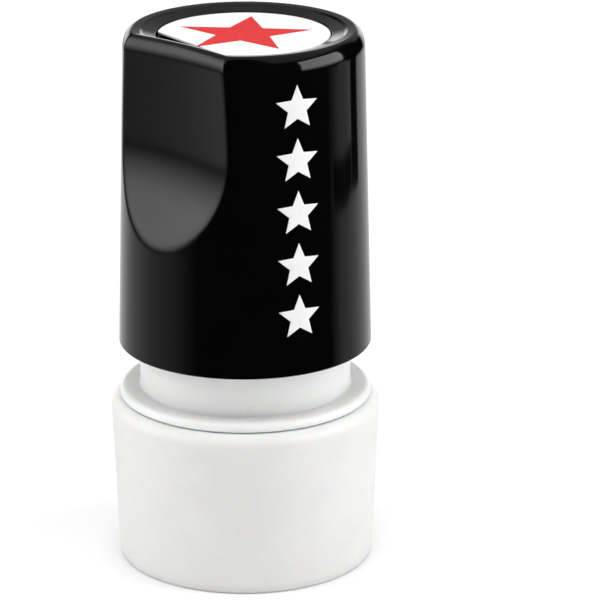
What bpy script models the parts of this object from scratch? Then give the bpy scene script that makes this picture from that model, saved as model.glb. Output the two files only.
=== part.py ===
"""Pre-inked round message stamp: handle, housing, dust cap and the mechanism inside.

Metres, +Z up along the stamp's axis. The origin is the centre of the dust cap's underside,
and the thumb scoop in the handle faces -Y. The stamp stands in its dust cap, handle up.
"""

import math

import bmesh
import bpy

MM = 0.001

# Clearance between two pieces that touch or slide on the real stamp
GAP = 0.3 * MM

# Facets round the pieces
SHOW_SIDES = 48
HANDLE_SIDES = 60
HIDDEN_SIDES = 32
SHARP_ANGLE = math.radians(30.0)

# Dust cap: a push-on cup with a drafted wall
CAP_RADIUS = 14.0 * MM
CAP_HEIGHT = 17.3 * MM
CAP_DRAFT = 0.85 * MM
CAP_WALL = 1.2 * MM
CAP_FLOOR = 1.2 * MM
CAP_SHOULDER = 1.0 * MM
CAP_FOOT_ROUND = 0.5 * MM
CAP_FOOT_WIDTH = 1.6 * MM
CAP_FOOT_RECESS = 0.4 * MM
CAP_LEDGE_HEIGHT = 0.7 * MM
CAP_LEDGE_WIDTH = 1.5 * MM
CAP_MOUTH_FLARE = 0.65 * MM
CAP_RIBS = 6
CAP_RIB_WIDTH = 1.2 * MM
CAP_RIB_BITE = 0.4 * MM

# Housing: skirt, flange and neck
SKIRT_PLAY = 0.45 * MM
SKIRT_WALL = 1.2 * MM
FLANGE_THICKNESS = 0.75 * MM
FLANGE_ROUND = 0.35 * MM
FLANGE_INSET = 0.05 * MM
NECK_PLAY = 0.83 * MM
NECK_WALL = 1.2 * MM
NECK_CLEARANCE = 1.6 * MM
NECK_FILLET = 0.5 * MM
NECK_CHAMFER = 0.4 * MM
WEB_THICKNESS = 1.2 * MM
GUIDE_WALL = 0.6 * MM
GUIDE_HEIGHT = 4.6 * MM

# Press stroke, and how far the die passes the skirt's rim at the end of it
STROKE = 4.5 * MM
PRINT_PROUD = 0.1 * MM

# Die, its retaining ring and the ink pad
DIE_FLANGE = 1.4 * MM
DIE_LEDGE = 1.05 * MM
DIE_FACE_DEPTH = 0.6 * MM
STAR_MARGIN = 0.55 * MM
STAR_RELIEF = 0.8 * MM
STAR_POINTS = 5
STAR_WAIST = 0.382
STAR_ROOT = 0.2 * MM
RETAINER_THICKNESS = 0.6 * MM
PAD_THICKNESS = 2.4 * MM

# Plunger: the carriage that slides in the skirt, and its hollow post
CARRIAGE_WALL = 0.7 * MM
CARRIAGE_ROOF = 1.2 * MM
POST_RADIUS = 3.6 * MM
POST_FLAT = 3.1 * MM
POST_BORE = 2.0 * MM
POST_HEADROOM = 9.35 * MM

# Return spring and the collar that holds it down
WIRE_RADIUS = 0.4 * MM
SPRING_PLAY = 0.4 * MM
SPRING_LENGTH = 14.6 * MM
SPRING_OPEN_TURNS = 5
SPRING_CLOSED_PITCH = 1.0 * MM
SPRING_POINTS = 14
COLLAR_THICKNESS = 1.4 * MM
COLLAR_LIP = 1.2 * MM

# Filler plug
PLUG_STEM = 3.4 * MM
PLUG_HEAD_RADIUS = 3.0 * MM
PLUG_HEAD = 1.3 * MM
PLUG_NUB_RADIUS = 1.2 * MM
PLUG_NUB = 1.4 * MM

# Handle: a drafted shell with a thumb scoop on the -Y side
HANDLE_OVERHANG = 0.03 * MM
HANDLE_DRAFT = 0.83 * MM
HANDLE_HEIGHT = 32.7 * MM
HANDLE_WALL = 1.3 * MM
HANDLE_FOOT_ROUND = 0.6 * MM
RIM_ROUND = 1.0 * MM
RIM_LIP = 1.3 * MM
SCOOP_TOP_DEPTH = 2.5 * MM
SCOOP_WAIST_DEPTH = 2.7 * MM
SCOOP_HEIGHT = 19.8 * MM
SCOOP_BEND_SHARE = 0.45
SCOOP_SPOON_RADIUS = 17.0 * MM
SCOOP_WIDE_RADIUS = 43.0 * MM
BOSS_WALL = 1.3 * MM
BOSS_BITE = 0.3 * MM
HANDLE_RIB_WIDTH = 1.0 * MM
HANDLE_RIB_CLEARANCE = 1.2 * MM
HANDLE_RIB_ANGLES = (90.0, 180.0, 270.0)

# Index label in its recess
RIM_WIDTH = 3.15 * MM
LABEL_THICKNESS = 0.25 * MM
LABEL_CHORD_INSET = 3.1 * MM
LABEL_TURN_DEG = -11.0
RECESS_DEPTH = 1.1 * MM
TOP_PLATE = 1.4 * MM

# Heights that follow from the sizes above, from the table up
SKIRT_RIM_Z = CAP_FLOOR + CAP_LEDGE_HEIGHT + GAP
DIE_FACE_Z = SKIRT_RIM_Z + STROKE - PRINT_PROUD
DIE_FLANGE_Z = DIE_FACE_Z + STAR_RELIEF + DIE_FACE_DEPTH
DIE_TOP_Z = DIE_FLANGE_Z + DIE_FLANGE
RETAINER_TOP_Z = DIE_FLANGE_Z - GAP
RETAINER_Z = RETAINER_TOP_Z - RETAINER_THICKNESS
PAD_Z = DIE_TOP_Z + GAP
PAD_TOP_Z = PAD_Z + PAD_THICKNESS
ROOF_UNDER_Z = PAD_TOP_Z + GAP
ROOF_TOP_Z = ROOF_UNDER_Z + CARRIAGE_ROOF
WEB_Z = ROOF_TOP_Z + GAP
WEB_TOP_Z = WEB_Z + WEB_THICKNESS
FLANGE_Z = CAP_HEIGHT + GAP
FLANGE_TOP_Z = FLANGE_Z + FLANGE_THICKNESS
SPRING_Z = WEB_TOP_Z + GAP
COLLAR_Z = SPRING_Z + SPRING_LENGTH + GAP
COLLAR_TOP_Z = COLLAR_Z + COLLAR_THICKNESS
HANDLE_Z = FLANGE_TOP_Z + STROKE + GAP
HANDLE_TOP_Z = HANDLE_Z + HANDLE_HEIGHT
RECESS_Z = HANDLE_TOP_Z - RECESS_DEPTH
CEILING_Z = RECESS_Z - TOP_PLATE
BOSS_Z = COLLAR_TOP_Z + GAP
POST_TOP_Z = CEILING_Z - POST_HEADROOM
PLUG_HEAD_Z = POST_TOP_Z + GAP
SCOOP_TIP_Z = HANDLE_TOP_Z - SCOOP_HEIGHT
NECK_TOP_Z = SCOOP_TIP_Z - STROKE - NECK_CLEARANCE
HANDLE_RIB_Z = max(NECK_TOP_Z + STROKE, COLLAR_TOP_Z) + HANDLE_RIB_CLEARANCE
LABEL_Z = RECESS_Z + GAP

# Radii that follow from the sizes above
CAP_FOOT_RADIUS = CAP_RADIUS - CAP_DRAFT
CAP_LIP_RADIUS = CAP_RADIUS - CAP_SHOULDER
CAP_BORE = CAP_FOOT_RADIUS - CAP_WALL
SKIRT_RADIUS = CAP_BORE - SKIRT_PLAY
SKIRT_BORE = SKIRT_RADIUS - SKIRT_WALL
FLANGE_RADIUS = CAP_LIP_RADIUS - FLANGE_INSET
HANDLE_FOOT_RADIUS = FLANGE_RADIUS + HANDLE_OVERHANG
HANDLE_TOP_RADIUS = HANDLE_FOOT_RADIUS - HANDLE_DRAFT
NECK_RADIUS = HANDLE_FOOT_RADIUS - HANDLE_WALL - NECK_PLAY
NECK_BORE = NECK_RADIUS - NECK_WALL
CARRIAGE_RADIUS = SKIRT_BORE - GAP
CARRIAGE_BORE = CARRIAGE_RADIUS - CARRIAGE_WALL
DIE_RADIUS = CARRIAGE_BORE - GAP
DIE_FACE_RADIUS = DIE_RADIUS - DIE_LEDGE
STAR_RADIUS = DIE_FACE_RADIUS - STAR_MARGIN
POST_HOLE = POST_RADIUS + GAP
GUIDE_RADIUS = POST_HOLE + GUIDE_WALL
SPRING_RADIUS = GUIDE_RADIUS + SPRING_PLAY + WIRE_RADIUS
COLLAR_RADIUS = SPRING_RADIUS + WIRE_RADIUS + COLLAR_LIP
BOSS_RADIUS = POST_HOLE + BOSS_WALL
SCOOP_TOP_DISTANCE = HANDLE_TOP_RADIUS - SCOOP_TOP_DEPTH
SCOOP_WAIST_DISTANCE = HANDLE_TOP_RADIUS - SCOOP_WAIST_DEPTH
LABEL_RADIUS = HANDLE_TOP_RADIUS - RIM_WIDTH - GAP
LABEL_CHORD = SCOOP_TOP_DISTANCE - LABEL_CHORD_INSET


def clear_scene():
    """Start from an empty scene."""
    for item in list(bpy.data.objects):
        bpy.data.objects.remove(item, do_unlink=True)


def finish_colour(name, colour, roughness, metallic=0.0):
    """One plain Principled material."""
    material = bpy.data.materials.new(name)
    material.use_nodes = True
    shader = material.node_tree.nodes["Principled BSDF"]
    shader.inputs["Base Color"].default_value = (*colour, 1.0)
    shader.inputs["Roughness"].default_value = roughness
    shader.inputs["Metallic"].default_value = metallic
    return material


def add_object(name, data, parent=None):
    """Link an object for the data, under its joint's empty if it has one."""
    item = bpy.data.objects.new(name, data)
    bpy.context.scene.collection.objects.link(item)
    if parent is not None:
        item.parent = parent
        item.matrix_parent_inverse = parent.matrix_basis.inverted()
    return item


def joint_empty(name, height, parent=None):
    """An empty on the stamp's axis: what rides on it slides along that axis."""
    empty = bpy.data.objects.new(name, None)
    empty.location = (0.0, 0.0, height)
    bpy.context.scene.collection.objects.link(empty)
    bpy.context.view_layer.update()
    if parent is not None:
        empty.parent = parent
        empty.matrix_parent_inverse = parent.matrix_world.inverted()
    return empty


def arc(centre_radius, centre_height, radius, start_deg, end_deg, steps=4):
    """Outline points on a circular rounding: 0 degrees is outward, 90 is up."""
    points = []
    for step in range(steps + 1):
        angle = math.radians(start_deg + (end_deg - start_deg) * step / steps)
        points.append((centre_radius + radius * math.cos(angle), centre_height + radius * math.sin(angle)))
    return points


def ring_points(radius, height, sides):
    """Points round the axis; the radius is a number, or a function of the angle from -Y."""
    points = []
    for side in range(sides):
        angle = math.tau * side / sides
        reach = radius(angle) if callable(radius) else radius
        points.append((reach * math.sin(angle), -reach * math.cos(angle), height))
    return points


def ringed_mesh(name, levels, sides, closed):
    """Extrude a ring from level to level; closed joins the last to the first, else both ends are capped."""
    mesh = bmesh.new()
    first = [mesh.verts.new(point) for point in ring_points(*levels[0], sides)]
    edges = [mesh.edges.new((first[side], first[(side + 1) % sides])) for side in range(sides)]
    first_edges = list(edges)
    if not closed:
        mesh.faces.new(first)
    ring = first
    for radius, height in levels[1:]:
        made = bmesh.ops.extrude_edge_only(mesh, edges=edges)["geom"]
        edges = [part for part in made if isinstance(part, bmesh.types.BMEdge)]
        moved = {part for part in made if isinstance(part, bmesh.types.BMVert)}
        edges = [edge for edge in edges if edge.verts[0] in moved and edge.verts[1] in moved]
        following = [next(e.other_vert(v) for e in v.link_edges if e.other_vert(v) in moved) for v in ring]
        for vert, point in zip(following, ring_points(radius, height, sides)):
            vert.co = point
        ring = following
    if closed:
        bmesh.ops.bridge_loops(mesh, edges=edges + first_edges)
    else:
        mesh.faces.new(ring)
    bmesh.ops.recalc_face_normals(mesh, faces=mesh.faces)
    data = bpy.data.meshes.new(name)
    mesh.to_mesh(data)
    mesh.free()
    data.shade_smooth()
    data.set_sharp_from_angle(angle=SHARP_ANGLE)
    return data


def turned(name, levels, material, parent, sides=HIDDEN_SIDES, closed=True):
    """A turned or moulded piece, as one object with its own material."""
    data = ringed_mesh(name, levels, sides, closed)
    data.materials.append(material)
    return add_object(name, data, parent)


def box_mesh(name, low, high, turn):
    """A block between two corners, turned about the stamp's axis."""
    mesh = bmesh.new()
    bmesh.ops.create_cube(mesh, size=1.0)
    for vert in mesh.verts:
        x, y, z = (a + (b - a) * (c + 0.5) for a, b, c in zip(low, high, vert.co))
        vert.co = (x * math.cos(turn) - y * math.sin(turn), x * math.sin(turn) + y * math.cos(turn), z)
    bmesh.ops.recalc_face_normals(mesh, faces=mesh.faces)
    data = bpy.data.meshes.new(name)
    mesh.to_mesh(data)
    mesh.free()
    return data


def join_on(target, data):
    """Weld a hidden helper body onto the target with a Boolean union."""
    helper = add_object(data.name, data, target.parent)
    helper.hide_render = True
    helper.display_type = "WIRE"
    union = target.modifiers.new(data.name, "BOOLEAN")
    union.operation = "UNION"
    union.solver = "EXACT"
    union.object = helper


def radial_rib(target, name, inner, outer, low, high, width, turn):
    """Weld on a rib that runs outward from the axis."""
    join_on(target, box_mesh(name, (inner, -width / 2, low), (outer, width / 2, high), turn))


def flatted(radius, half_flat):
    """A round with two flats, across X, which keys the handle to the post."""

    def reach(angle):
        across = abs(math.sin(angle))
        return radius if radius * across <= half_flat else half_flat / across

    return reach


# Dust cap


def cap_levels():
    """Outline of the cup, from the floor's centre inside, over the lip and down to the foot."""
    inner_ledge = CAP_BORE - CAP_LEDGE_WIDTH
    ledge_z = CAP_FLOOR + CAP_LEDGE_HEIGHT
    levels = [(inner_ledge, CAP_FLOOR), (inner_ledge, ledge_z), (CAP_BORE, ledge_z)]
    levels.append((CAP_BORE + CAP_MOUTH_FLARE, CAP_HEIGHT))
    shoulder_z = CAP_HEIGHT - CAP_SHOULDER
    levels += arc(CAP_LIP_RADIUS, shoulder_z, CAP_SHOULDER, 90.0, 0.0)
    levels += arc(CAP_FOOT_RADIUS - CAP_FOOT_ROUND, CAP_FOOT_ROUND, CAP_FOOT_ROUND, 0.0, -90.0, 3)
    foot_inner = CAP_FOOT_RADIUS - CAP_FOOT_ROUND - CAP_FOOT_WIDTH
    levels.append((foot_inner, 0.0))
    levels.append((foot_inner - CAP_FOOT_RECESS, CAP_FOOT_RECESS))
    return levels


def make_dust_cap(material, parent):
    """The cup, with ribs that grip the skirt."""
    cap = turned("dust_cap", cap_levels(), material, parent, SHOW_SIDES, closed=False)
    low = CAP_FLOOR + CAP_LEDGE_HEIGHT / 2
    high = CAP_HEIGHT - 2 * CAP_SHOULDER
    for rib in range(CAP_RIBS):
        turn = math.tau * (rib + 0.5) / CAP_RIBS
        inner = SKIRT_RADIUS + GAP
        outer = CAP_BORE + CAP_MOUTH_FLARE + CAP_RIB_BITE
        radial_rib(cap, f"cap_rib_{rib}", inner, outer, low, high, CAP_RIB_WIDTH, turn)
    return cap


# Housing


def housing_levels():
    """Outline of the housing, from the skirt's rim up the outside and back down the inside."""
    levels = [(SKIRT_RADIUS, SKIRT_RIM_Z), (SKIRT_RADIUS, FLANGE_Z), (FLANGE_RADIUS, FLANGE_Z)]
    levels += arc(FLANGE_RADIUS - FLANGE_ROUND, FLANGE_TOP_Z - FLANGE_ROUND, FLANGE_ROUND, 0.0, 90.0, 3)
    levels += arc(NECK_RADIUS + NECK_FILLET, FLANGE_TOP_Z + NECK_FILLET, NECK_FILLET, 270.0, 180.0, 3)
    levels += [(NECK_RADIUS, NECK_TOP_Z - NECK_CHAMFER), (NECK_RADIUS - NECK_CHAMFER, NECK_TOP_Z)]
    levels += [(NECK_BORE, NECK_TOP_Z), (NECK_BORE, WEB_TOP_Z), (GUIDE_RADIUS, WEB_TOP_Z)]
    guide_top = WEB_TOP_Z + GUIDE_HEIGHT
    levels += [(GUIDE_RADIUS, guide_top), (POST_HOLE, guide_top), (POST_HOLE, WEB_Z)]
    levels += [(SKIRT_BORE, WEB_Z), (SKIRT_BORE, SKIRT_RIM_Z)]
    return levels


# Plunger and what rides on it


def plunger_levels():
    """Outline of the carriage and its hollow post, which has two flats."""
    post = flatted(POST_RADIUS, POST_FLAT)
    chamfered = flatted(POST_RADIUS - GAP, POST_FLAT - GAP)
    return [
        (CARRIAGE_RADIUS, RETAINER_Z),
        (CARRIAGE_RADIUS, ROOF_TOP_Z),
        (post, ROOF_TOP_Z),
        (post, POST_TOP_Z - GAP),
        (chamfered, POST_TOP_Z),
        (POST_BORE, POST_TOP_Z),
        (POST_BORE, ROOF_UNDER_Z),
        (CARRIAGE_BORE, ROOF_UNDER_Z),
        (CARRIAGE_BORE, RETAINER_Z),
    ]


def star_mesh(name, radius, low, high):
    """A five-pointed star, extruded from low to high, with one point towards -Y."""
    mesh = bmesh.new()
    points = []
    for step in range(2 * STAR_POINTS):
        reach = radius * (STAR_WAIST if step % 2 else 1.0)
        angle = math.pi * step / STAR_POINTS
        points.append(mesh.verts.new((reach * math.sin(angle), -reach * math.cos(angle), low)))
    face = mesh.faces.new(points)
    raised = bmesh.ops.extrude_face_region(mesh, geom=[face])["geom"]
    for part in raised:
        if isinstance(part, bmesh.types.BMVert):
            part.co.z = high
    bmesh.ops.recalc_face_normals(mesh, faces=mesh.faces)
    data = bpy.data.meshes.new(name)
    mesh.to_mesh(data)
    mesh.free()
    return data


def make_die(material, parent):
    """The foam die: a flange that the ring holds, a face, and the star in relief under it."""
    face_z = DIE_FACE_Z + STAR_RELIEF
    levels = [
        (DIE_FACE_RADIUS, face_z),
        (DIE_FACE_RADIUS, DIE_FLANGE_Z),
        (DIE_RADIUS, DIE_FLANGE_Z),
        (DIE_RADIUS, DIE_TOP_Z),
    ]
    die = turned("die", levels, material, parent, closed=False)
    join_on(die, star_mesh("die_star", STAR_RADIUS, DIE_FACE_Z, face_z + STAR_ROOT))
    return die


def make_retainer(material, parent):
    """The ring in the carriage's mouth that holds the die by its flange."""
    outer = CARRIAGE_BORE - GAP
    inner = DIE_FACE_RADIUS + GAP
    levels = [(inner, RETAINER_Z), (outer, RETAINER_Z), (outer, RETAINER_TOP_Z), (inner, RETAINER_TOP_Z)]
    return turned("die_retainer", levels, material, parent)


def make_pad(material, parent):
    """The felt that feeds ink to the die."""
    levels = [(DIE_RADIUS, PAD_Z), (DIE_RADIUS, PAD_TOP_Z)]
    return turned("ink_pad", levels, material, parent, closed=False)


def make_collar(material, parent):
    """The flanged ring on the post that the spring pushes up against."""
    step = COLLAR_RADIUS - COLLAR_LIP
    middle = (COLLAR_Z + COLLAR_TOP_Z) / 2
    levels = [
        (POST_HOLE, COLLAR_Z),
        (COLLAR_RADIUS, COLLAR_Z),
        (COLLAR_RADIUS, middle),
        (step, COLLAR_TOP_Z),
        (POST_HOLE, COLLAR_TOP_Z),
    ]
    return turned("spring_collar", levels, material, parent)


def spring_height(turn):
    """Height of the wire's centre after so many turns: closed end turns, open ones between."""
    span = SPRING_LENGTH - 2 * WIRE_RADIUS
    open_pitch = (span - 2 * SPRING_CLOSED_PITCH) / SPRING_OPEN_TURNS
    if turn <= 1.0:
        return turn * SPRING_CLOSED_PITCH
    if turn <= 1.0 + SPRING_OPEN_TURNS:
        return SPRING_CLOSED_PITCH + (turn - 1.0) * open_pitch
    return span - (2.0 + SPRING_OPEN_TURNS - turn) * SPRING_CLOSED_PITCH


def make_spring(material, parent):
    """The return spring, a round wire swept along its coil."""
    curve = bpy.data.curves.new("return_spring", "CURVE")
    curve.dimensions = "3D"
    curve.bevel_depth = WIRE_RADIUS
    curve.bevel_resolution = 1
    curve.use_fill_caps = True
    turns = SPRING_OPEN_TURNS + 2
    spline = curve.splines.new("POLY")
    spline.points.add(turns * SPRING_POINTS)
    for step, point in enumerate(spline.points):
        turn = step / SPRING_POINTS
        angle = math.tau * turn
        height = SPRING_Z + WIRE_RADIUS + spring_height(turn)
        point.co = (SPRING_RADIUS * math.cos(angle), SPRING_RADIUS * math.sin(angle), height, 1.0)
    curve.materials.append(material)
    return add_object("return_spring", curve, parent)


def make_plug(material, parent):
    """The rubber plug in the post's ink hole, with a nub to pull it by."""
    stem = POST_BORE - GAP
    head_top = PLUG_HEAD_Z + PLUG_HEAD
    levels = [
        (stem, PLUG_HEAD_Z - PLUG_STEM),
        (stem, PLUG_HEAD_Z),
        (PLUG_HEAD_RADIUS, PLUG_HEAD_Z),
        (PLUG_HEAD_RADIUS, head_top),
        (PLUG_NUB_RADIUS, head_top),
        (PLUG_NUB_RADIUS, head_top + PLUG_NUB),
    ]
    return turned("filler_plug", levels, material, parent, closed=False)


# Handle


def barrel_radius(height):
    """Outside radius of the drafted barrel, away from the scoop."""
    share = (height - HANDLE_Z) / HANDLE_HEIGHT
    return HANDLE_FOOT_RADIUS + (HANDLE_TOP_RADIUS - HANDLE_FOOT_RADIUS) * share


def scoop_distance(height):
    """Distance from the axis to the scoop's floor on its centre line: a spoon's arc up from the tip."""
    tip_depth = barrel_radius(SCOOP_TIP_Z) - SCOOP_WAIST_DISTANCE
    waist = SCOOP_TIP_Z + math.sqrt(tip_depth * (2 * SCOOP_SPOON_RADIUS - tip_depth))
    drop = max(0.0, waist - height)
    arc_depth = SCOOP_SPOON_RADIUS - math.sqrt(SCOOP_SPOON_RADIUS ** 2 - min(drop, SCOOP_SPOON_RADIUS) ** 2)
    rise = max(0.0, height - waist) / (HANDLE_TOP_Z - waist)
    return SCOOP_WAIST_DISTANCE + arc_depth + (SCOOP_TOP_DISTANCE - SCOOP_WAIST_DISTANCE) * rise ** 2


def handle_radius(angle, height, wall=0.0):
    """Radius of the handle at an angle from -Y, less a wall thickness."""
    barrel = barrel_radius(height) - wall
    floor = scoop_distance(height) - wall
    if barrel * math.cos(angle) <= floor:
        return barrel
    sideways = floor * math.tan(angle)
    floor += sideways ** 2 / (2 * SCOOP_WIDE_RADIUS)
    return min(barrel, floor / math.cos(angle))


def handle_level(height, wall=0.0):
    """One ring of the handle's surface."""
    return (lambda angle: handle_radius(angle, height, wall), height)


def recess_radius(angle):
    """Edge of the label recess: round, and flattened beside the scoop."""
    return min(LABEL_RADIUS + GAP, handle_radius(angle, HANDLE_TOP_Z, RIM_LIP))


def spread(low, high, steps):
    """Evenly spaced heights from low to high."""
    return [low + (high - low) * step / steps for step in range(steps + 1)]


def handle_levels():
    """Rings of the handle from the recess floor, down the outside and up the inside."""
    rim_z = HANDLE_TOP_Z - RIM_ROUND
    levels = [(recess_radius, RECESS_Z), (recess_radius, HANDLE_TOP_Z)]
    for inset, height in arc(-RIM_ROUND, rim_z, RIM_ROUND, 90.0, 0.0, 3):
        levels.append(handle_level(height, -inset))
    bend = SCOOP_TIP_Z + SCOOP_HEIGHT * SCOOP_BEND_SHARE
    levels += [handle_level(height) for height in spread(rim_z, bend, 3)[1:]]
    levels += [handle_level(height) for height in spread(bend, SCOOP_TIP_Z - GAP, 5)[1:]]
    for inset, height in arc(-HANDLE_FOOT_ROUND, HANDLE_Z + HANDLE_FOOT_ROUND, HANDLE_FOOT_ROUND, 0.0, -90.0, 2):
        levels.append(handle_level(height, -inset))
    levels.append(handle_level(HANDLE_Z, HANDLE_WALL))
    levels += [handle_level(height, HANDLE_WALL) for height in spread(SCOOP_TIP_Z - GAP, bend, 3)]
    levels += [handle_level(height, HANDLE_WALL) for height in spread(bend, CEILING_Z, 2)[1:]]
    return levels


def make_handle(material, parent):
    """The shell, with the keyed socket for the post and the ribs that stiffen it."""
    handle = turned("handle", handle_levels(), material, parent, HANDLE_SIDES, closed=False)
    socket = flatted(POST_HOLE, POST_FLAT + GAP)
    top = CEILING_Z + BOSS_BITE
    boss = [(BOSS_RADIUS, BOSS_Z), (BOSS_RADIUS, top), (socket, top), (socket, BOSS_Z)]
    join_on(handle, ringed_mesh("handle_boss", boss, HIDDEN_SIDES, closed=True))
    inner = (POST_HOLE + BOSS_RADIUS) / 2
    outer = HANDLE_TOP_RADIUS - HANDLE_WALL / 2
    for number, degrees in enumerate(HANDLE_RIB_ANGLES):
        turn = math.radians(degrees - 90.0)
        radial_rib(handle, f"handle_rib_{number}", inner, outer, HANDLE_RIB_Z, top, HANDLE_RIB_WIDTH, turn)
    return handle


def label_radius(angle):
    """Edge of the index label: a round with one straight side towards the scoop."""
    toward = math.cos(angle - math.radians(LABEL_TURN_DEG))
    return LABEL_RADIUS if LABEL_RADIUS * toward <= LABEL_CHORD else LABEL_CHORD / toward


def make_label(material, parent):
    """The printed index label that lies in the recess."""
    levels = [(label_radius, LABEL_Z), (label_radius, LABEL_Z + LABEL_THICKNESS)]
    return turned("index_label", levels, material, parent, SHOW_SIDES, closed=False)


def build():
    """Make every piece and hang it from the empty of the joint that moves it."""
    clear_scene()
    white = (0.86, 0.86, 0.85)
    cap_empty = joint_empty("cap_axis", 0.0)
    lift = joint_empty("housing_lift", SKIRT_RIM_Z, cap_empty)
    press = joint_empty("handle_press", ROOF_TOP_Z, lift)
    plug_pull = joint_empty("plug_pull", PLUG_HEAD_Z, press)
    handle_pull = joint_empty("handle_pull", HANDLE_Z, press)
    make_dust_cap(finish_colour("cap_white", white, 0.35), cap_empty)
    housing_white = finish_colour("housing_white", white, 0.3)
    turned("housing", housing_levels(), housing_white, lift, SHOW_SIDES)
    turned("plunger", plunger_levels(), finish_colour("plunger_white", (0.8, 0.8, 0.78), 0.4), press)
    make_die(finish_colour("die_red", (0.62, 0.05, 0.05), 0.7), press)
    make_retainer(finish_colour("retainer_white", (0.8, 0.8, 0.78), 0.4), press)
    make_pad(finish_colour("pad_red", (0.45, 0.03, 0.04), 0.95), press)
    make_collar(finish_colour("collar_white", (0.8, 0.8, 0.78), 0.4), press)
    make_spring(finish_colour("spring_steel", (0.62, 0.62, 0.64), 0.25, 1.0), press)
    make_plug(finish_colour("plug_rubber", (0.03, 0.03, 0.03), 0.8), plug_pull)
    make_handle(finish_colour("handle_black", (0.01, 0.01, 0.01), 0.12), handle_pull)
    make_label(finish_colour("label_white", (0.95, 0.95, 0.95), 0.3), handle_pull)


build()
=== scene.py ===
# %% [markdown]
# # A pre-inked message stamp, drawn as a studio picture
# The stamp is a small desk tool: a glossy black handle slides down over a white neck, and the
# whole thing stands in a push-on dust cap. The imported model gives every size. This lesson
# builds the surfaces that the eye sees round it, piece by piece, and then lights them.

# %% Load the frame
import math

import bmesh
import bpy
import numpy as np
from mathutils import Matrix, Vector


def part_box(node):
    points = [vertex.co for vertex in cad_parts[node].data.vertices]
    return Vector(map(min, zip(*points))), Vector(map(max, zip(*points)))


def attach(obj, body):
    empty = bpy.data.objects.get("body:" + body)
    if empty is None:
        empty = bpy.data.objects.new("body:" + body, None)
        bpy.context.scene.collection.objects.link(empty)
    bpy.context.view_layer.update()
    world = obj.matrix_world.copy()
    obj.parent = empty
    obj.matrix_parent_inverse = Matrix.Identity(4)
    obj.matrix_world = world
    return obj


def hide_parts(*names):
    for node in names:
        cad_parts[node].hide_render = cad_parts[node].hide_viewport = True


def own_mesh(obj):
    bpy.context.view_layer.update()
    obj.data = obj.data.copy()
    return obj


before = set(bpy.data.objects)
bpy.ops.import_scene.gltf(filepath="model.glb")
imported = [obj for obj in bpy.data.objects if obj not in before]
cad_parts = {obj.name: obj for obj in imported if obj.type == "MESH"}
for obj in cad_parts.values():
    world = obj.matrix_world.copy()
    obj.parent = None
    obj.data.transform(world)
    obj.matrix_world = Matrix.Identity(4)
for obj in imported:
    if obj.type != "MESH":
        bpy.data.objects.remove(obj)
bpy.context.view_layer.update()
scene = bpy.context.scene
MM = 0.001
print("nodes:", ", ".join(sorted(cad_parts)))

# %% [markdown]
# ## The camera
# The stamp is looked at from a little above, through a long lens, so its upright sides stay
# nearly parallel. The thumb scoop faces -Y, and the camera stands 43 degrees to its right, so
# the scoop is seen at the left.

# %% Camera
CAMERA_TURN = math.radians(43.0)
CAMERA_PITCH = 0.325
CAMERA_SIDE = 5.641 * MM
CAMERA_BACK = 346.56 * MM
CAMERA_HEIGHT = 143.9 * MM
SENSOR = 36.0
LENS = 213.64

right = Vector((math.cos(CAMERA_TURN), math.sin(CAMERA_TURN), 0.0))
toward = Vector((math.sin(CAMERA_TURN), -math.cos(CAMERA_TURN), 0.0))
up = Vector((0.0, 0.0, 1.0))
camera_data = bpy.data.cameras.new("camera")
camera_data.lens = LENS
camera_data.sensor_width = SENSOR
camera_data.clip_start = 10 * MM
camera_data.clip_end = 20.0
camera = bpy.data.objects.new("camera", camera_data)
scene.collection.objects.link(camera)
camera.location = right * CAMERA_SIDE + toward * CAMERA_BACK + up * CAMERA_HEIGHT
look = -toward * math.cos(CAMERA_PITCH) - up * math.sin(CAMERA_PITCH)
camera.rotation_mode = "QUATERNION"
camera.rotation_quaternion = look.to_track_quat("-Z", "Y")
scene.camera = camera
print("camera at, mm:", [round(value / MM, 1) for value in camera.location])

# %% [markdown]
# ## Small helpers for node trees
# A node tree is easier to read when each node takes one line. `add` makes a node and joins
# what is given to its inputs; `calc` does the same for one sum.


# %% Node helpers
def put(tree, socket, value):
    """Join a socket to an input, or write a plain value on it."""
    if isinstance(value, bpy.types.NodeSocket):
        tree.links.new(value, socket)
    else:
        socket.default_value = value


def add(tree, kind, inputs=(), **settings):
    """A node of a kind, with its settings, and values or sockets on named or numbered inputs."""
    node = tree.nodes.new(kind)
    for name, value in settings.items():
        setattr(node, name, value)
    for key, value in dict(inputs).items():
        put(tree, node.inputs[key], value)
    return node


def calc(tree, operation, *values):
    """One sum: a Math node and its result."""
    node = add(tree, "ShaderNodeMath", operation=operation)
    for slot_number, value in enumerate(values):
        put(tree, node.inputs[slot_number], value)
    return node.outputs[0]


def open_group(name, kind, inputs, outputs):
    """A node group with named inputs and outputs; gives the tree, its input and its output node."""
    tree = bpy.data.node_groups.new(name, kind)
    for label, (socket_type, value) in inputs.items():
        socket = tree.interface.new_socket(label, in_out="INPUT", socket_type=socket_type)
        if value is not None:
            socket.default_value = value
    for label, socket_type in outputs.items():
        tree.interface.new_socket(label, in_out="OUTPUT", socket_type=socket_type)
    return tree, tree.nodes.new("NodeGroupInput").outputs, tree.nodes.new("NodeGroupOutput").inputs


NUMBER = "NodeSocketFloat"
COUNT = "NodeSocketInt"
GEOMETRY = "NodeSocketGeometry"
MATERIAL = "NodeSocketMaterial"
VECTOR = "NodeSocketVector"
COLOUR = "NodeSocketColor"

# %% [markdown]
# ## What moulded plastic has in common
# Every plastic piece here came out of a polished mould. Such a skin is never quite even: the
# melt leaves soft clouds in the gloss, handling leaves hair-fine scratches, and the polish
# leaves a faint ripple. One shader group makes all three, and each material sets how strong
# they are.

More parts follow.
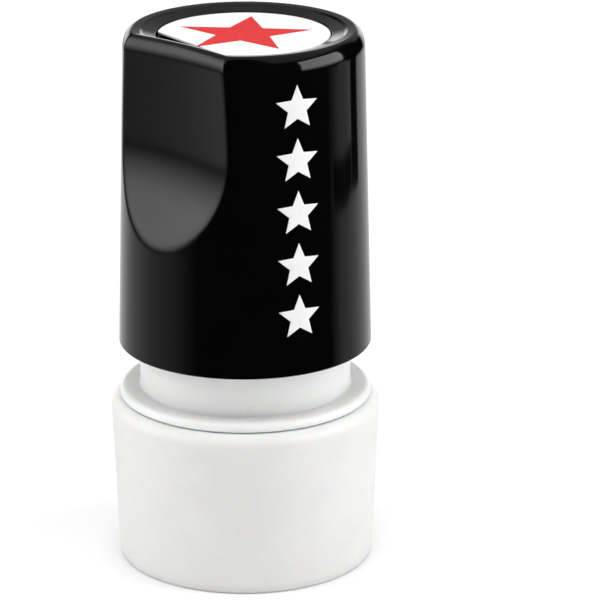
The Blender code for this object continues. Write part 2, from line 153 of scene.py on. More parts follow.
# %% Shader group: moulded skin
moulded, given, result = open_group(
    "Moulded skin", "ShaderNodeTree",
    {
        "Vector": (VECTOR, None),
        "Cloud Size": (NUMBER, 300.0),
        "Roughness": (NUMBER, 0.2),
        "Cloud Roughness": (NUMBER, 0.05),
        "Scratch Roughness": (NUMBER, 0.05),
        "Ripple": (NUMBER, 0.2),
    },
    {"Clouds": NUMBER, "Scratches": NUMBER, "Roughness": NUMBER, "Height": NUMBER},
)
clouds = add(moulded, "ShaderNodeTexNoise",
             {"Vector": given["Vector"], "Scale": given["Cloud Size"], "Detail": 3.0, "Roughness": 0.5})
stretch = add(moulded, "ShaderNodeMapping",
              {"Vector": given["Vector"], "Rotation": (0.3, 0.5, 0.2), "Scale": (9000.0, 9000.0, 350.0)})
hairs = add(moulded, "ShaderNodeTexNoise", {"Vector": stretch.outputs[0], "Scale": 1.0, "Detail": 1.0})
scratches = add(moulded, "ShaderNodeMapRange",
                {"Value": hairs.outputs["Fac"], "From Min": 0.66, "From Max": 0.72})
grain = add(moulded, "ShaderNodeTexNoise", {"Vector": given["Vector"], "Scale": 2600.0, "Detail": 2.0})
ripple = add(moulded, "ShaderNodeTexNoise", {"Vector": given["Vector"], "Scale": 420.0, "Detail": 1.0})
cloud_part = calc(moulded, "MULTIPLY_ADD", clouds.outputs["Fac"], given["Cloud Roughness"],
                  given["Roughness"])
put(moulded, result["Clouds"], clouds.outputs["Fac"])
put(moulded, result["Scratches"], scratches.outputs["Result"])
put(moulded, result["Roughness"],
    calc(moulded, "MULTIPLY_ADD", scratches.outputs["Result"], given["Scratch Roughness"], cloud_part))
fine = calc(moulded, "MULTIPLY", grain.outputs["Fac"], 0.15)
put(moulded, result["Height"],
    calc(moulded, "MULTIPLY", calc(moulded, "ADD", ripple.outputs["Fac"], fine), given["Ripple"]))
print("group:", moulded.name, "with", len(moulded.nodes), "nodes")

# %% [markdown]
# A second group paints shade: a speckled darker band round a given height, standing in for
# the shade in the seams where pieces meet and along the foot. It reads the height in the model,
# so it lies in the same place however the light falls.

# %% Shader group: painted seam shade
seam_shade, given, result = open_group(
    "Painted seam shade", "ShaderNodeTree",
    {"Vector": (VECTOR, None), "Level": (NUMBER, 0.0), "Spread": (NUMBER, 0.001), "Amount": (NUMBER, 0.2)},
    {"Dust": NUMBER},
)
height = add(seam_shade, "ShaderNodeSeparateXYZ", {"Vector": given["Vector"]}).outputs["Z"]
away = calc(seam_shade, "ABSOLUTE", calc(seam_shade, "SUBTRACT", height, given["Level"]))
near = calc(seam_shade, "SUBTRACT", 1.0, calc(seam_shade, "DIVIDE", away, given["Spread"]))
specks = add(seam_shade, "ShaderNodeTexNoise", {"Vector": given["Vector"], "Scale": 1500.0, "Detail": 4.0})
# Painted shade: strongest at the given height, fading over the spread, broken up by speckle noise
speckled_band = calc(seam_shade, "MULTIPLY", calc(seam_shade, "MAXIMUM", near, 0.0), specks.outputs["Fac"])
put(seam_shade, result["Dust"], calc(seam_shade, "MULTIPLY", speckled_band, given["Amount"]))
print("group:", seam_shade.name, "with", len(seam_shade.nodes), "nodes")

# %% [markdown]
# ## Helpers for finishes
# A value that is the same all over a surface belongs on the shader's own socket. What changes
# over the surface is fed in by nodes. These helpers keep the two apart, so that each finish
# below reads as a short list of its own values.


# %% Material helper
def open_material(name, **sockets):
    """A Principled material with its constants on the shader, then its tree, shader and position."""
    material = bpy.data.materials.new(name)
    material.use_nodes = True
    tree = material.node_tree
    shader = tree.nodes["Principled BSDF"]
    for label, value in sockets.items():
        shader.inputs[label.replace("_", " ")].default_value = value
    place = add(tree, "ShaderNodeTexCoord").outputs["Object"]
    return material, tree, shader, place


def bump(tree, shader, height, distance, strength=1.0):
    """Feed a height to the shader's normal."""
    node = add(tree, "ShaderNodeBump", {"Height": height, "Distance": distance, "Strength": strength})
    put(tree, shader.inputs["Normal"], node.outputs["Normal"])


def group(tree, inner, **values):
    """Place a shader group with its own values."""
    node = add(tree, "ShaderNodeGroup", node_tree=inner)
    for label, value in values.items():
        put(tree, node.inputs[label.replace("_", " ")], value)
    return node.outputs


def two_tone(tree, factor, first, second):
    """A colour between two, by a factor that changes over the surface."""
    node = add(tree, "ShaderNodeMix", data_type="RGBA")
    put(tree, node.inputs[0], factor)
    for socket, shade in ((node.inputs[6], first), (node.inputs[7], second)):
        put(tree, socket, (*shade, 1.0) if isinstance(shade, tuple) else shade)
    return node.outputs[2]


def patterned(tree, shader, pattern, light, dark, least_rough, rough_spread, depth):
    """Let one pattern drive a material's colour, its roughness and its bump."""
    put(tree, shader.inputs["Base Color"], two_tone(tree, pattern, light, dark))
    put(tree, shader.inputs["Roughness"], calc(tree, "MULTIPLY_ADD", pattern, rough_spread, least_rough))
    bump(tree, shader, pattern, depth)


# Colour of the painted shade laid in seams and along the foot
PAINTED_SHADE = (0.42, 0.41, 0.39)
SKIN_DEPTH = 0.01 * MM


def plastic(name, light, dark, roughness, cloud, scratch, ripple, cloud_size=300.0, shade_bands=(), **sockets):
    """A moulded plastic from two near shades, the moulded skin's own values and any bands of painted shade.
    """
    material, tree, shader, place = open_material(name, **sockets)
    skin = group(tree, moulded, Vector=place, Cloud_Size=cloud_size, Roughness=roughness,
                 Cloud_Roughness=cloud, Scratch_Roughness=scratch, Ripple=ripple)
    colour = two_tone(tree, skin["Clouds"], light, dark)
    # Each band darkens the colour towards the painted shade round its height, for a seam or the foot
    for level, spread, amount in shade_bands:
        band_shade = group(tree, seam_shade, Vector=place, Level=level, Spread=spread, Amount=amount)["Dust"]
        colour = two_tone(tree, band_shade, colour, PAINTED_SHADE)
    put(tree, shader.inputs["Base Color"], colour)
    put(tree, shader.inputs["Roughness"], skin["Roughness"])
    bump(tree, shader, skin["Height"], SKIN_DEPTH)
    return material


# %% [markdown]
# ## Plastics
# The handle is black and polished until it mirrors the room. The housing is white and
# semi-gloss. The dust cap is a thinner, softer white that lets a little light through, so its
# shading is cloudy. The mechanism inside is plain natural white. A flat colour would look like
# paint, so each one is two near shades that the moulded skin mixes. Shade is painted as a
# speckled darker band where the neck meets its flange, at the cap's lip and along its foot.

# %% Plastic materials
handle_black = plastic(
    "handle black", (0.0010, 0.0010, 0.0011), (0.0018, 0.0018, 0.0019),
    roughness=0.06, cloud=0.04, scratch=0.05, ripple=0.25, IOR=1.5)
# The housing's band at 18.35 mm is painted shade in the corner where the neck meets its flange
housing_white = plastic(
    "housing white", (0.94, 0.94, 0.935), (0.90, 0.90, 0.89),
    roughness=0.24, cloud=0.10, scratch=0.06, ripple=0.5,
    shade_bands=((18.35 * MM, 0.15 * MM, 0.3),), Subsurface_Weight=0.3, Subsurface_Scale=1.0 * MM)
# The cap's bands are painted shade: at its lip below the housing's flange, and along its foot
cap_white = plastic(
    "cap white", (0.88, 0.88, 0.87), (0.80, 0.80, 0.785),
    roughness=0.34, cloud=0.12, scratch=0.06, ripple=0.6, cloud_size=180.0,
    shade_bands=((17.3 * MM, 0.15 * MM, 0.5), (0.0, 0.9 * MM, 0.5)),
    Subsurface_Weight=0.45, Subsurface_Scale=1.2 * MM)
mechanism_white = plastic(
    "mechanism white", (0.82, 0.81, 0.77), (0.74, 0.73, 0.69),
    roughness=0.42, cloud=0.12, scratch=0.08, ripple=0.8)
plug_rubber = plastic(
    "plug rubber", (0.028, 0.028, 0.029), (0.045, 0.045, 0.046),
    roughness=0.62, cloud=0.18, scratch=0.0, ripple=1.5)
print("plastics:", len(bpy.data.materials))

# %% [markdown]
# ## Steel, felt, foam and print
# The spring is drawn wire with fine marks in it. The pad is wool felt, the die is foam with
# pores, and the label is coated paper with one flat red ink on it. Each could be a scanned
# texture, but a noise at the right scale gives the same tooth and needs no file.

# %% Steel wire
spring_steel, tree, shader, place = open_material("spring steel", Metallic=1.0)
lines = add(tree, "ShaderNodeTexNoise", {"Vector": place, "Scale": 5000.0, "Detail": 2.0})
patterned(tree, shader, lines.outputs["Fac"], (0.55, 0.55, 0.57), (0.74, 0.74, 0.75), 0.16, 0.2, 0.004 * MM)
print("made", spring_steel.name)

# %% Ink-soaked felt
pad_felt, tree, shader, place = open_material("pad felt", Sheen_Weight=0.4, Sheen_Roughness=0.6)
squeezed = add(tree, "ShaderNodeMapping", {"Vector": place, "Scale": (1.0, 1.0, 2.5)})
fibres = add(tree, "ShaderNodeTexNoise",
             {"Vector": squeezed.outputs[0], "Scale": 2800.0, "Detail": 6.0, "Roughness": 0.75})
patterned(tree, shader, fibres.outputs["Fac"], (0.30, 0.012, 0.02), (0.58, 0.05, 0.06), 0.75, 0.2, 0.12 * MM)
print("made", pad_felt.name)

# %% Stamping foam
die_foam, tree, shader, place = open_material("die foam", Subsurface_Weight=0.1, Subsurface_Scale=0.5 * MM)
pores = add(tree, "ShaderNodeTexVoronoi", {"Vector": place, "Scale": 4200.0})
stain = add(tree, "ShaderNodeTexNoise", {"Vector": place, "Scale": 350.0, "Detail": 3.0})
put(tree, shader.inputs["Base Color"],
    two_tone(tree, stain.outputs["Fac"], (0.50, 0.02, 0.025), (0.70, 0.07, 0.06)))
put(tree, shader.inputs["Roughness"], calc(tree, "MULTIPLY_ADD", pores.outputs["Distance"], 0.3, 0.45))
bump(tree, shader, pores.outputs["Distance"], 0.05 * MM)
print("made", die_foam.name)

# %% Coated paper and inks
label_paper, tree, shader, place = open_material("label paper", Coat_Weight=0.25, Coat_Roughness=0.2)
pulp = add(tree, "ShaderNodeTexNoise", {"Vector": place, "Scale": 1800.0, "Detail": 5.0})
patterned(tree, shader, pulp.outputs["Fac"], (0.95, 0.95, 0.945), (0.90, 0.90, 0.895), 0.4, 0.15, 0.006 * MM)


def ink(name, light, dark, **sockets):
    """A printed ink film: two near shades, with the paper's or mould's fine tooth in it."""
    material, tree, shader, place = open_material(name, **sockets)
    tooth = add(tree, "ShaderNodeTexNoise", {"Vector": place, "Scale": 2400.0, "Detail": 4.0})
    patterned(tree, shader, tooth.outputs["Fac"], light, dark, 0.35, 0.2, 0.004 * MM)
    return material


star_ink = ink("star ink", (0.66, 0.014, 0.018), (0.58, 0.011, 0.014), IOR=1.3)
mark_ink = ink("mark ink", (0.93, 0.93, 0.925), (0.86, 0.86, 0.855))
print("materials:", sorted(material.name for material in bpy.data.materials))

# %% [markdown]
# ## Turned pieces
# Nearly every piece is round, so it is drawn as an outline of radius and height and turned
# about the stamp's axis. A mould has no razor edges: `rounded` puts an arc at each corner, and
# leaves a ring close beside each arc, so that the flats next to it stay flat in the light.

# %% Outlines
ARC_STEPS = 6
SUPPORT = 0.06 * MM


def rounded(corners, closed):
    """Outline through (radius, height, rounding) corners, with an arc at each rounded one."""
    points = []
    for index, (radius, height, rounding) in enumerate(corners):
        here = Vector((radius, height))
        if not rounding or (not closed and index in (0, len(corners) - 1)):
            points.append(here)
            continue
        before = (Vector(corners[index - 1][:2]) - here).normalized()
        after = (Vector(corners[(index + 1) % len(corners)][:2]) - here).normalized()
        half = before.angle(after) / 2
        centre = here + (before + after).normalized() * (rounding / math.sin(half))
        start = here + before * (rounding / math.tan(half)) - centre
        end = here + after * (rounding / math.tan(half)) - centre
        sweep = math.pi - 2 * half
        for step in range(ARC_STEPS + 1):
            share = sweep * step / ARC_STEPS
            point = centre + (start * math.sin(sweep - share) + end * math.sin(share)) / math.sin(sweep)
            points.append(point)
    return supported(points, closed)


def supported(points, closed):
    """Add a point close to each end of every long straight."""
    outline = []
    for index, here in enumerate(points):
        outline.append(here)
        if index + 1 == len(points) and not closed:
            break
        following = points[(index + 1) % len(points)]
        run = following - here
        if run.length > 8 * SUPPORT:
            step = run.normalized() * SUPPORT
            outline += [here + step, following - step]
    return outline


# %% [markdown]
# Turning could be left to a Screw modifier. Here each ring is computed instead, because some
# rings aren't round: the post has two flats and the label has a straight side. `reach` is the
# rule that reshapes such a ring.

# %% Turning
SIDES = 192
SHARP = math.radians(40.0)


def turned_mesh(name, outline, closed, angles=None, reach=None):
    """Turn an outline about the axis. The angles start at -Y; reach may reshape each ring."""
    angles = np.linspace(0.0, math.tau, SIDES, endpoint=False) if angles is None else angles
    points, rings = [], []
    for radius, height in outline:
        if radius < 1e-7:
            rings.append([len(points)] * len(angles))
            points.append((0.0, 0.0, height))
            continue
        radii = np.full(len(angles), radius) if reach is None else reach(angles, radius, height)
        rings.append(range(len(points), len(points) + len(angles)))
        points += zip(radii * np.sin(angles), -radii * np.cos(angles), [height] * len(angles))
    faces = []
    pairs = list(zip(rings, rings[1:] + rings[:1])) if closed else list(zip(rings, rings[1:]))
    for low, high in pairs:
        for side in range(len(angles)):
            following = (side + 1) % len(angles)
            corners = [low[side], low[following], high[following], high[side]]
            faces.append(list(dict.fromkeys(corners)))
    mesh = bpy.data.meshes.new(name)
    mesh.from_pydata(points, [], [face for face in faces if len(face) > 2])
    return finished(mesh)


def finished(mesh):
    """Merge doubles, turn the faces outward and shade the mesh smooth except at its sharp edges."""
    work = bmesh.new()
    work.from_mesh(mesh)
    bmesh.ops.remove_doubles(work, verts=work.verts, dist=0.0005 * MM)
    bmesh.ops.recalc_face_normals(work, faces=work.faces)
    if work.calc_volume(signed=True) < 0:
        bmesh.ops.reverse_faces(work, faces=work.faces)
    work.to_mesh(mesh)
    work.free()
    mesh.shade_smooth()
    mesh.set_sharp_from_angle(angle=SHARP)
    return mesh


def place_piece(mesh, material, body, node=None):
    """Make the object, give it its material and body, and hide the model node that it stands for."""
    if material is not None:
        mesh.materials.clear()
        mesh.materials.append(material)
    piece = bpy.data.objects.new(mesh.name, mesh)
    scene.collection.objects.link(piece)
    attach(piece, body)
    if node is not None:
        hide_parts(node)
    print(piece.name, "-", len(mesh.polygons), "faces")
    return piece


# %% [markdown]
# ## Geometry nodes for rules and repeats
# A tree is made once, with its sizes as named inputs. `close_tree` ends it, by making its
# copies real and giving them their material. `grow` runs it on a holder object, takes the
# evaluated result as a plain mesh and throws the holder away.


# %% Ending a tree, and growing a mesh from it
def close_tree(tree, result, geometry, material):
    """End a geometry tree with Realize Instances and Set Material."""
    real = add(tree, "GeometryNodeRealizeInstances", {0: geometry})
    painted = add(tree, "GeometryNodeSetMaterial", {"Geometry": real.outputs[0], "Material": material})
    put(tree, result["Geometry"], painted.outputs[0])
    print("tree:", tree.name, "with", len(tree.nodes), "nodes")


def grow(name, tree, data, values):
    """Run a tree on the data with its inputs set, and return the mesh that it makes."""
    holder = bpy.data.objects.new(name + "_holder", data)
    scene.collection.objects.link(holder)
    modifier = holder.modifiers.new(tree.name, "NODES")
    modifier.node_group = tree
    for item in tree.interface.items_tree:
        if item.in_out == "INPUT" and item.name in values:
            modifier[item.identifier] = values[item.name]
    holder.update_tag()
    graph = bpy.context.evaluated_depsgraph_get()
    mesh = bpy.data.meshes.new_from_object(holder.evaluated_get(graph))
    mesh.name = name
    bpy.data.objects.remove(holder)
    print("grown:", name, len(mesh.polygons), "faces from", tree.name)
    return finished(mesh)


# %% [markdown]
# ## The handle
# The handle is the main piece. Its barrel is a plain turned shape with a little draft, a rim
# rolled over at the top and a recess for the label. The thumb scoop is then pressed into it by
# a rule: at every height the floor of the scoop lies at a known distance from the axis, and no
# point of the barrel may stand further out than that floor. The floor is a spoon: a round arc
# up from the tip, then nearly straight to the rim. A Boolean cut could do it, but its edge
# would be knife-sharp, and a rule lets the edge be crisp at the sides and soft at the tip. The
# same rule, one wall deeper, shapes the inside, so the wall keeps its thickness.

# %% Handle sizes
handle_low, handle_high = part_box("handle")
HANDLE_Z = handle_low.z
HANDLE_TOP_Z = handle_high.z
HANDLE_HEIGHT = HANDLE_TOP_Z - HANDLE_Z
HANDLE_FOOT_RADIUS = 12.98 * MM
HANDLE_TOP_RADIUS = 12.15 * MM
HANDLE_WALL = 1.3 * MM
SCOOP_HEIGHT = 19.8 * MM
SCOOP_TIP_Z = HANDLE_TOP_Z - SCOOP_HEIGHT
SCOOP_TOP_DISTANCE = 9.65 * MM
SCOOP_WAIST_DISTANCE = 9.45 * MM
SCOOP_SPOON_RADIUS = 17.0 * MM
SCOOP_WIDE_RADIUS = 43.0 * MM
SCOOP_EDGE = 0.3 * MM
SCOOP_TIP_EDGE = 0.75 * MM
LABEL_RADIUS = 8.7 * MM
RECESS_RADIUS = 8.85 * MM
RIM_BAND_RADIUS = 10.1 * MM
RECESS_DEPTH = 1.1 * MM
TOP_PLATE = 1.4 * MM
RECESS_Z = HANDLE_TOP_Z - RECESS_DEPTH
CEILING_Z = RECESS_Z - TOP_PLATE
RIM_ROUND_ACROSS = 1.0 * MM
RIM_ROUND_DOWN = 1.8 * MM
print("handle from", round(HANDLE_Z / MM, 2), "to", round(HANDLE_TOP_Z / MM, 2), "mm")

# %% Geometry nodes: the scoop's rule
scooped, given, result = open_group(
    "Scooped barrel", "GeometryNodeTree",
    {
        "Geometry": (GEOMETRY, None),
        "Foot Height": (NUMBER, HANDLE_Z),
        "Top Height": (NUMBER, HANDLE_TOP_Z),
        "Foot Radius": (NUMBER, HANDLE_FOOT_RADIUS),
        "Top Radius": (NUMBER, HANDLE_TOP_RADIUS),
        "Wall": (NUMBER, HANDLE_WALL),
        "Scoop Tip": (NUMBER, SCOOP_TIP_Z),
        "Waist Distance": (NUMBER, SCOOP_WAIST_DISTANCE),
        "Top Distance": (NUMBER, SCOOP_TOP_DISTANCE),
        "Spoon Radius": (NUMBER, SCOOP_SPOON_RADIUS),
        "Wide Radius": (NUMBER, SCOOP_WIDE_RADIUS),
        "Edge Softness": (NUMBER, SCOOP_EDGE),
        "Tip Softness": (NUMBER, SCOOP_TIP_EDGE),
        "Material": (MATERIAL, None),
    },
    {"Geometry": GEOMETRY},
)
position = add(scooped, "GeometryNodeInputPosition").outputs[0]
parts = add(scooped, "ShaderNodeSeparateXYZ", {0: position}).outputs
flat_x = calc(scooped, "POWER", parts["X"], 2.0)
flat_y = calc(scooped, "POWER", parts["Y"], 2.0)
radius = calc(scooped, "MAXIMUM", calc(scooped, "SQRT", calc(scooped, "ADD", flat_x, flat_y)), 1e-9)


def barrel_at(height):
    """The barrel's radius at a height, as nodes."""
    span = calc(scooped, "SUBTRACT", given["Top Height"], given["Foot Height"])
    share = calc(scooped, "DIVIDE", calc(scooped, "SUBTRACT", height, given["Foot Height"]), span)
    draft = calc(scooped, "SUBTRACT", given["Top Radius"], given["Foot Radius"])
    return calc(scooped, "MULTIPLY_ADD", draft, share, given["Foot Radius"])


# How far the floor lies from the axis: a spoon's arc up from the tip, then nearly straight
tip_depth = calc(scooped, "SUBTRACT", barrel_at(given["Scoop Tip"]), given["Waist Distance"])
chord = calc(scooped, "SUBTRACT", calc(scooped, "MULTIPLY", given["Spoon Radius"], 2.0), tip_depth)
arc_height = calc(scooped, "SQRT", calc(scooped, "MULTIPLY", tip_depth, chord))
waist = calc(scooped, "ADD", given["Scoop Tip"], arc_height)
drop = calc(scooped, "MAXIMUM", calc(scooped, "SUBTRACT", waist, parts["Z"]), 0.0)
drop = calc(scooped, "MINIMUM", drop, given["Spoon Radius"])
spoon_square = calc(scooped, "POWER", given["Spoon Radius"], 2.0)
drop_square = calc(scooped, "POWER", drop, 2.0)
arc_left = calc(scooped, "SQRT", calc(scooped, "SUBTRACT", spoon_square, drop_square))
arc_depth = calc(scooped, "SUBTRACT", given["Spoon Radius"], arc_left)
above = calc(scooped, "MAXIMUM", calc(scooped, "SUBTRACT", parts["Z"], waist), 0.0)
rise = calc(scooped, "DIVIDE", above, calc(scooped, "SUBTRACT", given["Top Height"], waist))
swell = calc(scooped, "SUBTRACT", given["Top Distance"], given["Waist Distance"])
floor_line = calc(scooped, "ADD", calc(scooped, "ADD", given["Waist Distance"], arc_depth),
                  calc(scooped, "MULTIPLY", swell, calc(scooped, "POWER", rise, 2.0)))

# The edge is crisp beside the scoop and grows softer towards its tip
toward_tip = calc(scooped, "MINIMUM", calc(scooped, "DIVIDE", drop, arc_height), 1.0)
softness = calc(scooped, "MULTIPLY_ADD", calc(scooped, "POWER", toward_tip, 2.0), given["Tip Softness"],
                given["Edge Softness"])

# A ring that stands back from the barrel stands back from the floor too, up to one wall
inset = calc(scooped, "MINIMUM", calc(scooped, "SUBTRACT", barrel_at(parts["Z"]), radius), given["Wall"])
floor_here = calc(scooped, "SUBTRACT", floor_line, inset)

# The floor is hollow from side to side too; behind the axis the rule is far out of reach
LEAST_FACING = 0.2
forward = calc(scooped, "DIVIDE", calc(scooped, "MULTIPLY", parts["Y"], -1.0), radius)
facing = calc(scooped, "MAXIMUM", forward, LEAST_FACING)
slant = calc(scooped, "DIVIDE", calc(scooped, "DIVIDE", parts["X"], radius), facing)
sideways = calc(scooped, "MULTIPLY", floor_here, slant)
wide_twice = calc(scooped, "MULTIPLY", given["Wide Radius"], 2.0)
hollow = calc(scooped, "DIVIDE", calc(scooped, "POWER", sideways, 2.0), wide_twice)
limit = calc(scooped, "DIVIDE", calc(scooped, "ADD", floor_here, hollow), facing)
kept = calc(scooped, "SMOOTH_MIN", radius, limit, softness)
scale = calc(scooped, "DIVIDE", kept, radius)
moved = add(scooped, "ShaderNodeCombineXYZ", {
    0: calc(scooped, "MULTIPLY", parts["X"], scale),
    1: calc(scooped, "MULTIPLY", parts["Y"], scale),
    2: parts["Z"],
})
pressed = add(scooped, "GeometryNodeSetPosition",
              {"Geometry": given["Geometry"], "Position": moved.outputs[0]})
close_tree(scooped, result, pressed.outputs[0], given["Material"])


# %% [markdown]
# The rule can only bend rings that are there, so the outline has many of them down the scoop,
# closest together near its tip, and few below it. The rim slopes a little down to the label,
# and its outer edge is rounded further down than across, as on a part that is meant to be
# handled.

# %% Handle outline
LIP_Z = HANDLE_TOP_Z - 0.52 * MM
BAND_Z = HANDLE_TOP_Z - 0.2 * MM
FOOT_DROP = 0.1 * MM
RIM_STEPS = 16
SCOOP_PITCH = 0.35 * MM
TIP_PITCH = 0.13 * MM
PLAIN_PITCH = 1.2 * MM
INNER_PITCH = 0.6 * MM


def barrel_radius(height):
    """Outside radius of the drafted barrel."""
    share = (height - HANDLE_Z) / HANDLE_HEIGHT
    return HANDLE_FOOT_RADIUS + (HANDLE_TOP_RADIUS - HANDLE_FOOT_RADIUS) * share


def handle_outline():
    """Recess floor, over the rim, down the barrel, round the foot and up inside to the ceiling."""
    foot_z = HANDLE_Z - FOOT_DROP
    foot = barrel_radius(foot_z)
    rim_corners = [
        (0.0, RECESS_Z, 0.0),
        (RECESS_RADIUS, RECESS_Z, 0.15 * MM),
        (RECESS_RADIUS, LIP_Z, 0.08 * MM),
        (RIM_BAND_RADIUS, BAND_Z, 0.3 * MM),
        (RIM_BAND_RADIUS + 0.35 * MM, HANDLE_TOP_Z - 0.05 * MM, 0.25 * MM),
        (HANDLE_TOP_RADIUS - RIM_ROUND_ACROSS, HANDLE_TOP_Z, 0.0),
    ]
    outline = rounded(rim_corners, closed=False)
    for step in range(1, RIM_STEPS + 1):
        angle = math.pi / 2 * (1 - step / RIM_STEPS)
        height = HANDLE_TOP_Z - RIM_ROUND_DOWN * (1 - math.sin(angle))
        inset = RIM_ROUND_ACROSS * (1 - math.cos(angle))
        outline.append(Vector((barrel_radius(height) - inset, height)))
    heights = np.concatenate([
        np.arange(HANDLE_TOP_Z - RIM_ROUND_DOWN - 0.2 * MM, SCOOP_TIP_Z + 8.5 * MM, -SCOOP_PITCH),
        np.arange(SCOOP_TIP_Z + 8.4 * MM, SCOOP_TIP_Z - 1.6 * MM, -TIP_PITCH),
        np.arange(SCOOP_TIP_Z - 2.0 * MM, HANDLE_Z + 1.2 * MM, -PLAIN_PITCH),
    ])
    outline += [Vector((barrel_radius(height), height)) for height in heights]
    foot_corners = [
        (barrel_radius(HANDLE_Z + 1.1 * MM), HANDLE_Z + 1.1 * MM, 0.0),
        (foot, foot_z, 0.22 * MM),
        (foot - HANDLE_WALL, foot_z, 0.25 * MM),
        (barrel_radius(HANDLE_Z + 2 * MM) - HANDLE_WALL, HANDLE_Z + 2 * MM, 0.0),
    ]
    outline += rounded(foot_corners, closed=False)
    inner = np.arange(HANDLE_Z + 3 * MM, CEILING_Z - 0.2 * MM, INNER_PITCH)
    outline += [Vector((barrel_radius(height) - HANDLE_WALL, height)) for height in inner]
    ceiling_corners = [
        (barrel_radius(CEILING_Z - 0.15 * MM) - HANDLE_WALL, CEILING_Z - 0.15 * MM, 0.0),
        (barrel_radius(CEILING_Z) - HANDLE_WALL - 0.15 * MM, CEILING_Z, 0.0),
        (0.0, CEILING_Z, 0.0),
    ]
    outline += rounded(ceiling_corners, closed=False)
    return outline


# %% Grow the handle
FINE_HALF = math.radians(48.0)
FINE_STEP = math.radians(0.62)
COARSE_COUNT = 112
SCOOP_SHARP = math.radians(60.0)
fine_angles = np.arange(-FINE_HALF, FINE_HALF, FINE_STEP)
coarse_angles = np.linspace(FINE_HALF, math.tau - FINE_HALF, COARSE_COUNT, endpoint=False)
handle_angles = np.concatenate([fine_angles, coarse_angles])
barrel = turned_mesh("handle_barrel", handle_outline(), closed=False, angles=handle_angles)
handle_mesh = grow("handle_shell", scooped, barrel, {"Material": handle_black})
handle_mesh.set_sharp_from_angle(angle=SCOOP_SHARP)
handle_shell = place_piece(handle_mesh, None, "handle", "handle")

# %% [markdown]
# Inside the handle a keyed socket slips over the post, and three ribs tie it to the shell. They
# are seen only when the handle is off, from below. They are one moulding, so Booleans weld the
# ribs to the socket; pieces that only overlap would show a seam.

# %% Socket and ribs
POST_HOLE = 3.9 * MM
POST_KEY = 3.4 * MM
BOSS_RADIUS = 5.2 * MM
BOSS_Z = 32.0 * MM
RIB_Z = 35.65 * MM
RIB_WIDTH = 1.0 * MM
RIB_ANGLES = (0.0, 90.0, 180.0)


def keyed(angles, radius, height):
    """A round with two flats across X; only the socket's hole has them."""
    if radius > POST_HOLE + 0.5 * MM:
        return np.full(len(angles), radius)
    flat = POST_KEY + (radius - POST_HOLE)
    across = np.maximum(np.abs(np.sin(angles)), 1e-6)
    return np.minimum(radius, flat / across)


socket_top = CEILING_Z + 0.3 * MM
socket_corners = [
    (POST_HOLE, BOSS_Z, 0.25 * MM), (BOSS_RADIUS, BOSS_Z, 0.3 * MM),
    (BOSS_RADIUS, socket_top, 0.0), (POST_HOLE, socket_top, 0.0),
]
socket_mesh = turned_mesh("handle_socket", rounded(socket_corners, closed=True), True,
                          np.linspace(0.0, math.tau, 96, endpoint=False), keyed)


def rib_mesh(turn, outer):
    """One flat rib from the socket outward, with its lower edge softened."""
    work = bmesh.new()
    bmesh.ops.create_cube(work, size=1.0)
    low = Vector(((POST_HOLE + BOSS_RADIUS) / 2, -RIB_WIDTH / 2, RIB_Z))
    high = Vector((outer, RIB_WIDTH / 2, socket_top))
    for vert in work.verts:
        vert.co = Vector((a + (b - a) * (c + 0.5) for a, b, c in zip(low, high, vert.co)))
    edges = [edge for edge in work.edges if all(vert.co.z < RIB_Z + 1e-6 for vert in edge.verts)]
    bmesh.ops.bevel(work, geom=edges, offset=0.25 * MM, segments=3, affect="EDGES", profile=0.5)
    bmesh.ops.rotate(work, verts=work.verts, matrix=Matrix.Rotation(turn, 3, "Z"))
    mesh = bpy.data.meshes.new("rib")
    work.to_mesh(mesh)
    work.free()
    return finished(mesh)


def welded(mesh, others):
    """Weld other closed meshes onto a mesh with exact Booleans."""
    base = bpy.data.objects.new(mesh.name + "_base", mesh)
    scene.collection.objects.link(base)
    helpers = []
    for other in others:
        helper = bpy.data.objects.new("helper", other)
        scene.collection.objects.link(helper)
        union = base.modifiers.new("union", "BOOLEAN")
        union.operation = "UNION"
        union.solver = "EXACT"
        union.object = helper
        helpers.append(helper)
    graph = bpy.context.evaluated_depsgraph_get()
    made = bpy.data.meshes.new_from_object(base.evaluated_get(graph))
    made.name = mesh.name
    for item in helpers + [base]:
        bpy.data.objects.remove(item)
    return finished(made)


rib_outer = HANDLE_TOP_RADIUS - HANDLE_WALL / 2
ribs = [rib_mesh(math.radians(angle), rib_outer) for angle in RIB_ANGLES]
socket_mesh = welded(socket_mesh, ribs)
place_piece(socket_mesh, handle_black, "handle", None)

# %% [markdown]
# ## The index label
# A round of coated paper lies in the recess. One side is cut straight beside the scoop, so the
# label's edge is a circle that a straight line limits. The star is one flat ink film, laid a
# hair above the paper. A painted-on star would blur at its points; a film keeps them sharp.

# %% Label
label_low, label_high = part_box("index_label")
LABEL_CHORD = 6.4 * MM
LABEL_TURN = math.radians(-11.0)


def label_reach(angles, radius, height):
    """The label's round edge, with one straight side."""
    if radius < LABEL_CHORD:
        return np.full(len(angles), radius)
    toward_cut = np.cos(angles - LABEL_TURN)
    chord = LABEL_CHORD - (LABEL_RADIUS - radius)
    return np.where(radius * toward_cut <= chord, radius, chord / np.maximum(toward_cut, 0.1))


label_corners = [
    (0.0, label_low.z, 0.0), (LABEL_RADIUS, label_low.z, 0.04 * MM),
    (LABEL_RADIUS, label_high.z, 0.06 * MM), (0.0, label_high.z, 0.0),
]
label_mesh = turned_mesh("label_paper", rounded(label_corners, closed=False), False,
                         np.linspace(0.0, math.tau, 360, endpoint=False), label_reach)
place_piece(label_mesh, label_paper, "handle", "index_label")


# %% Star film
def star_points(radius, waist, turn):
    """Ten corners of a star; the turn is that of its first point from -Y."""
    points = []
    for step in range(10):
        reach = radius * (waist if step % 2 else 1.0)
        angle = turn + math.pi * step / 5
        points.append((reach * math.sin(angle), -reach * math.cos(angle)))
    return points


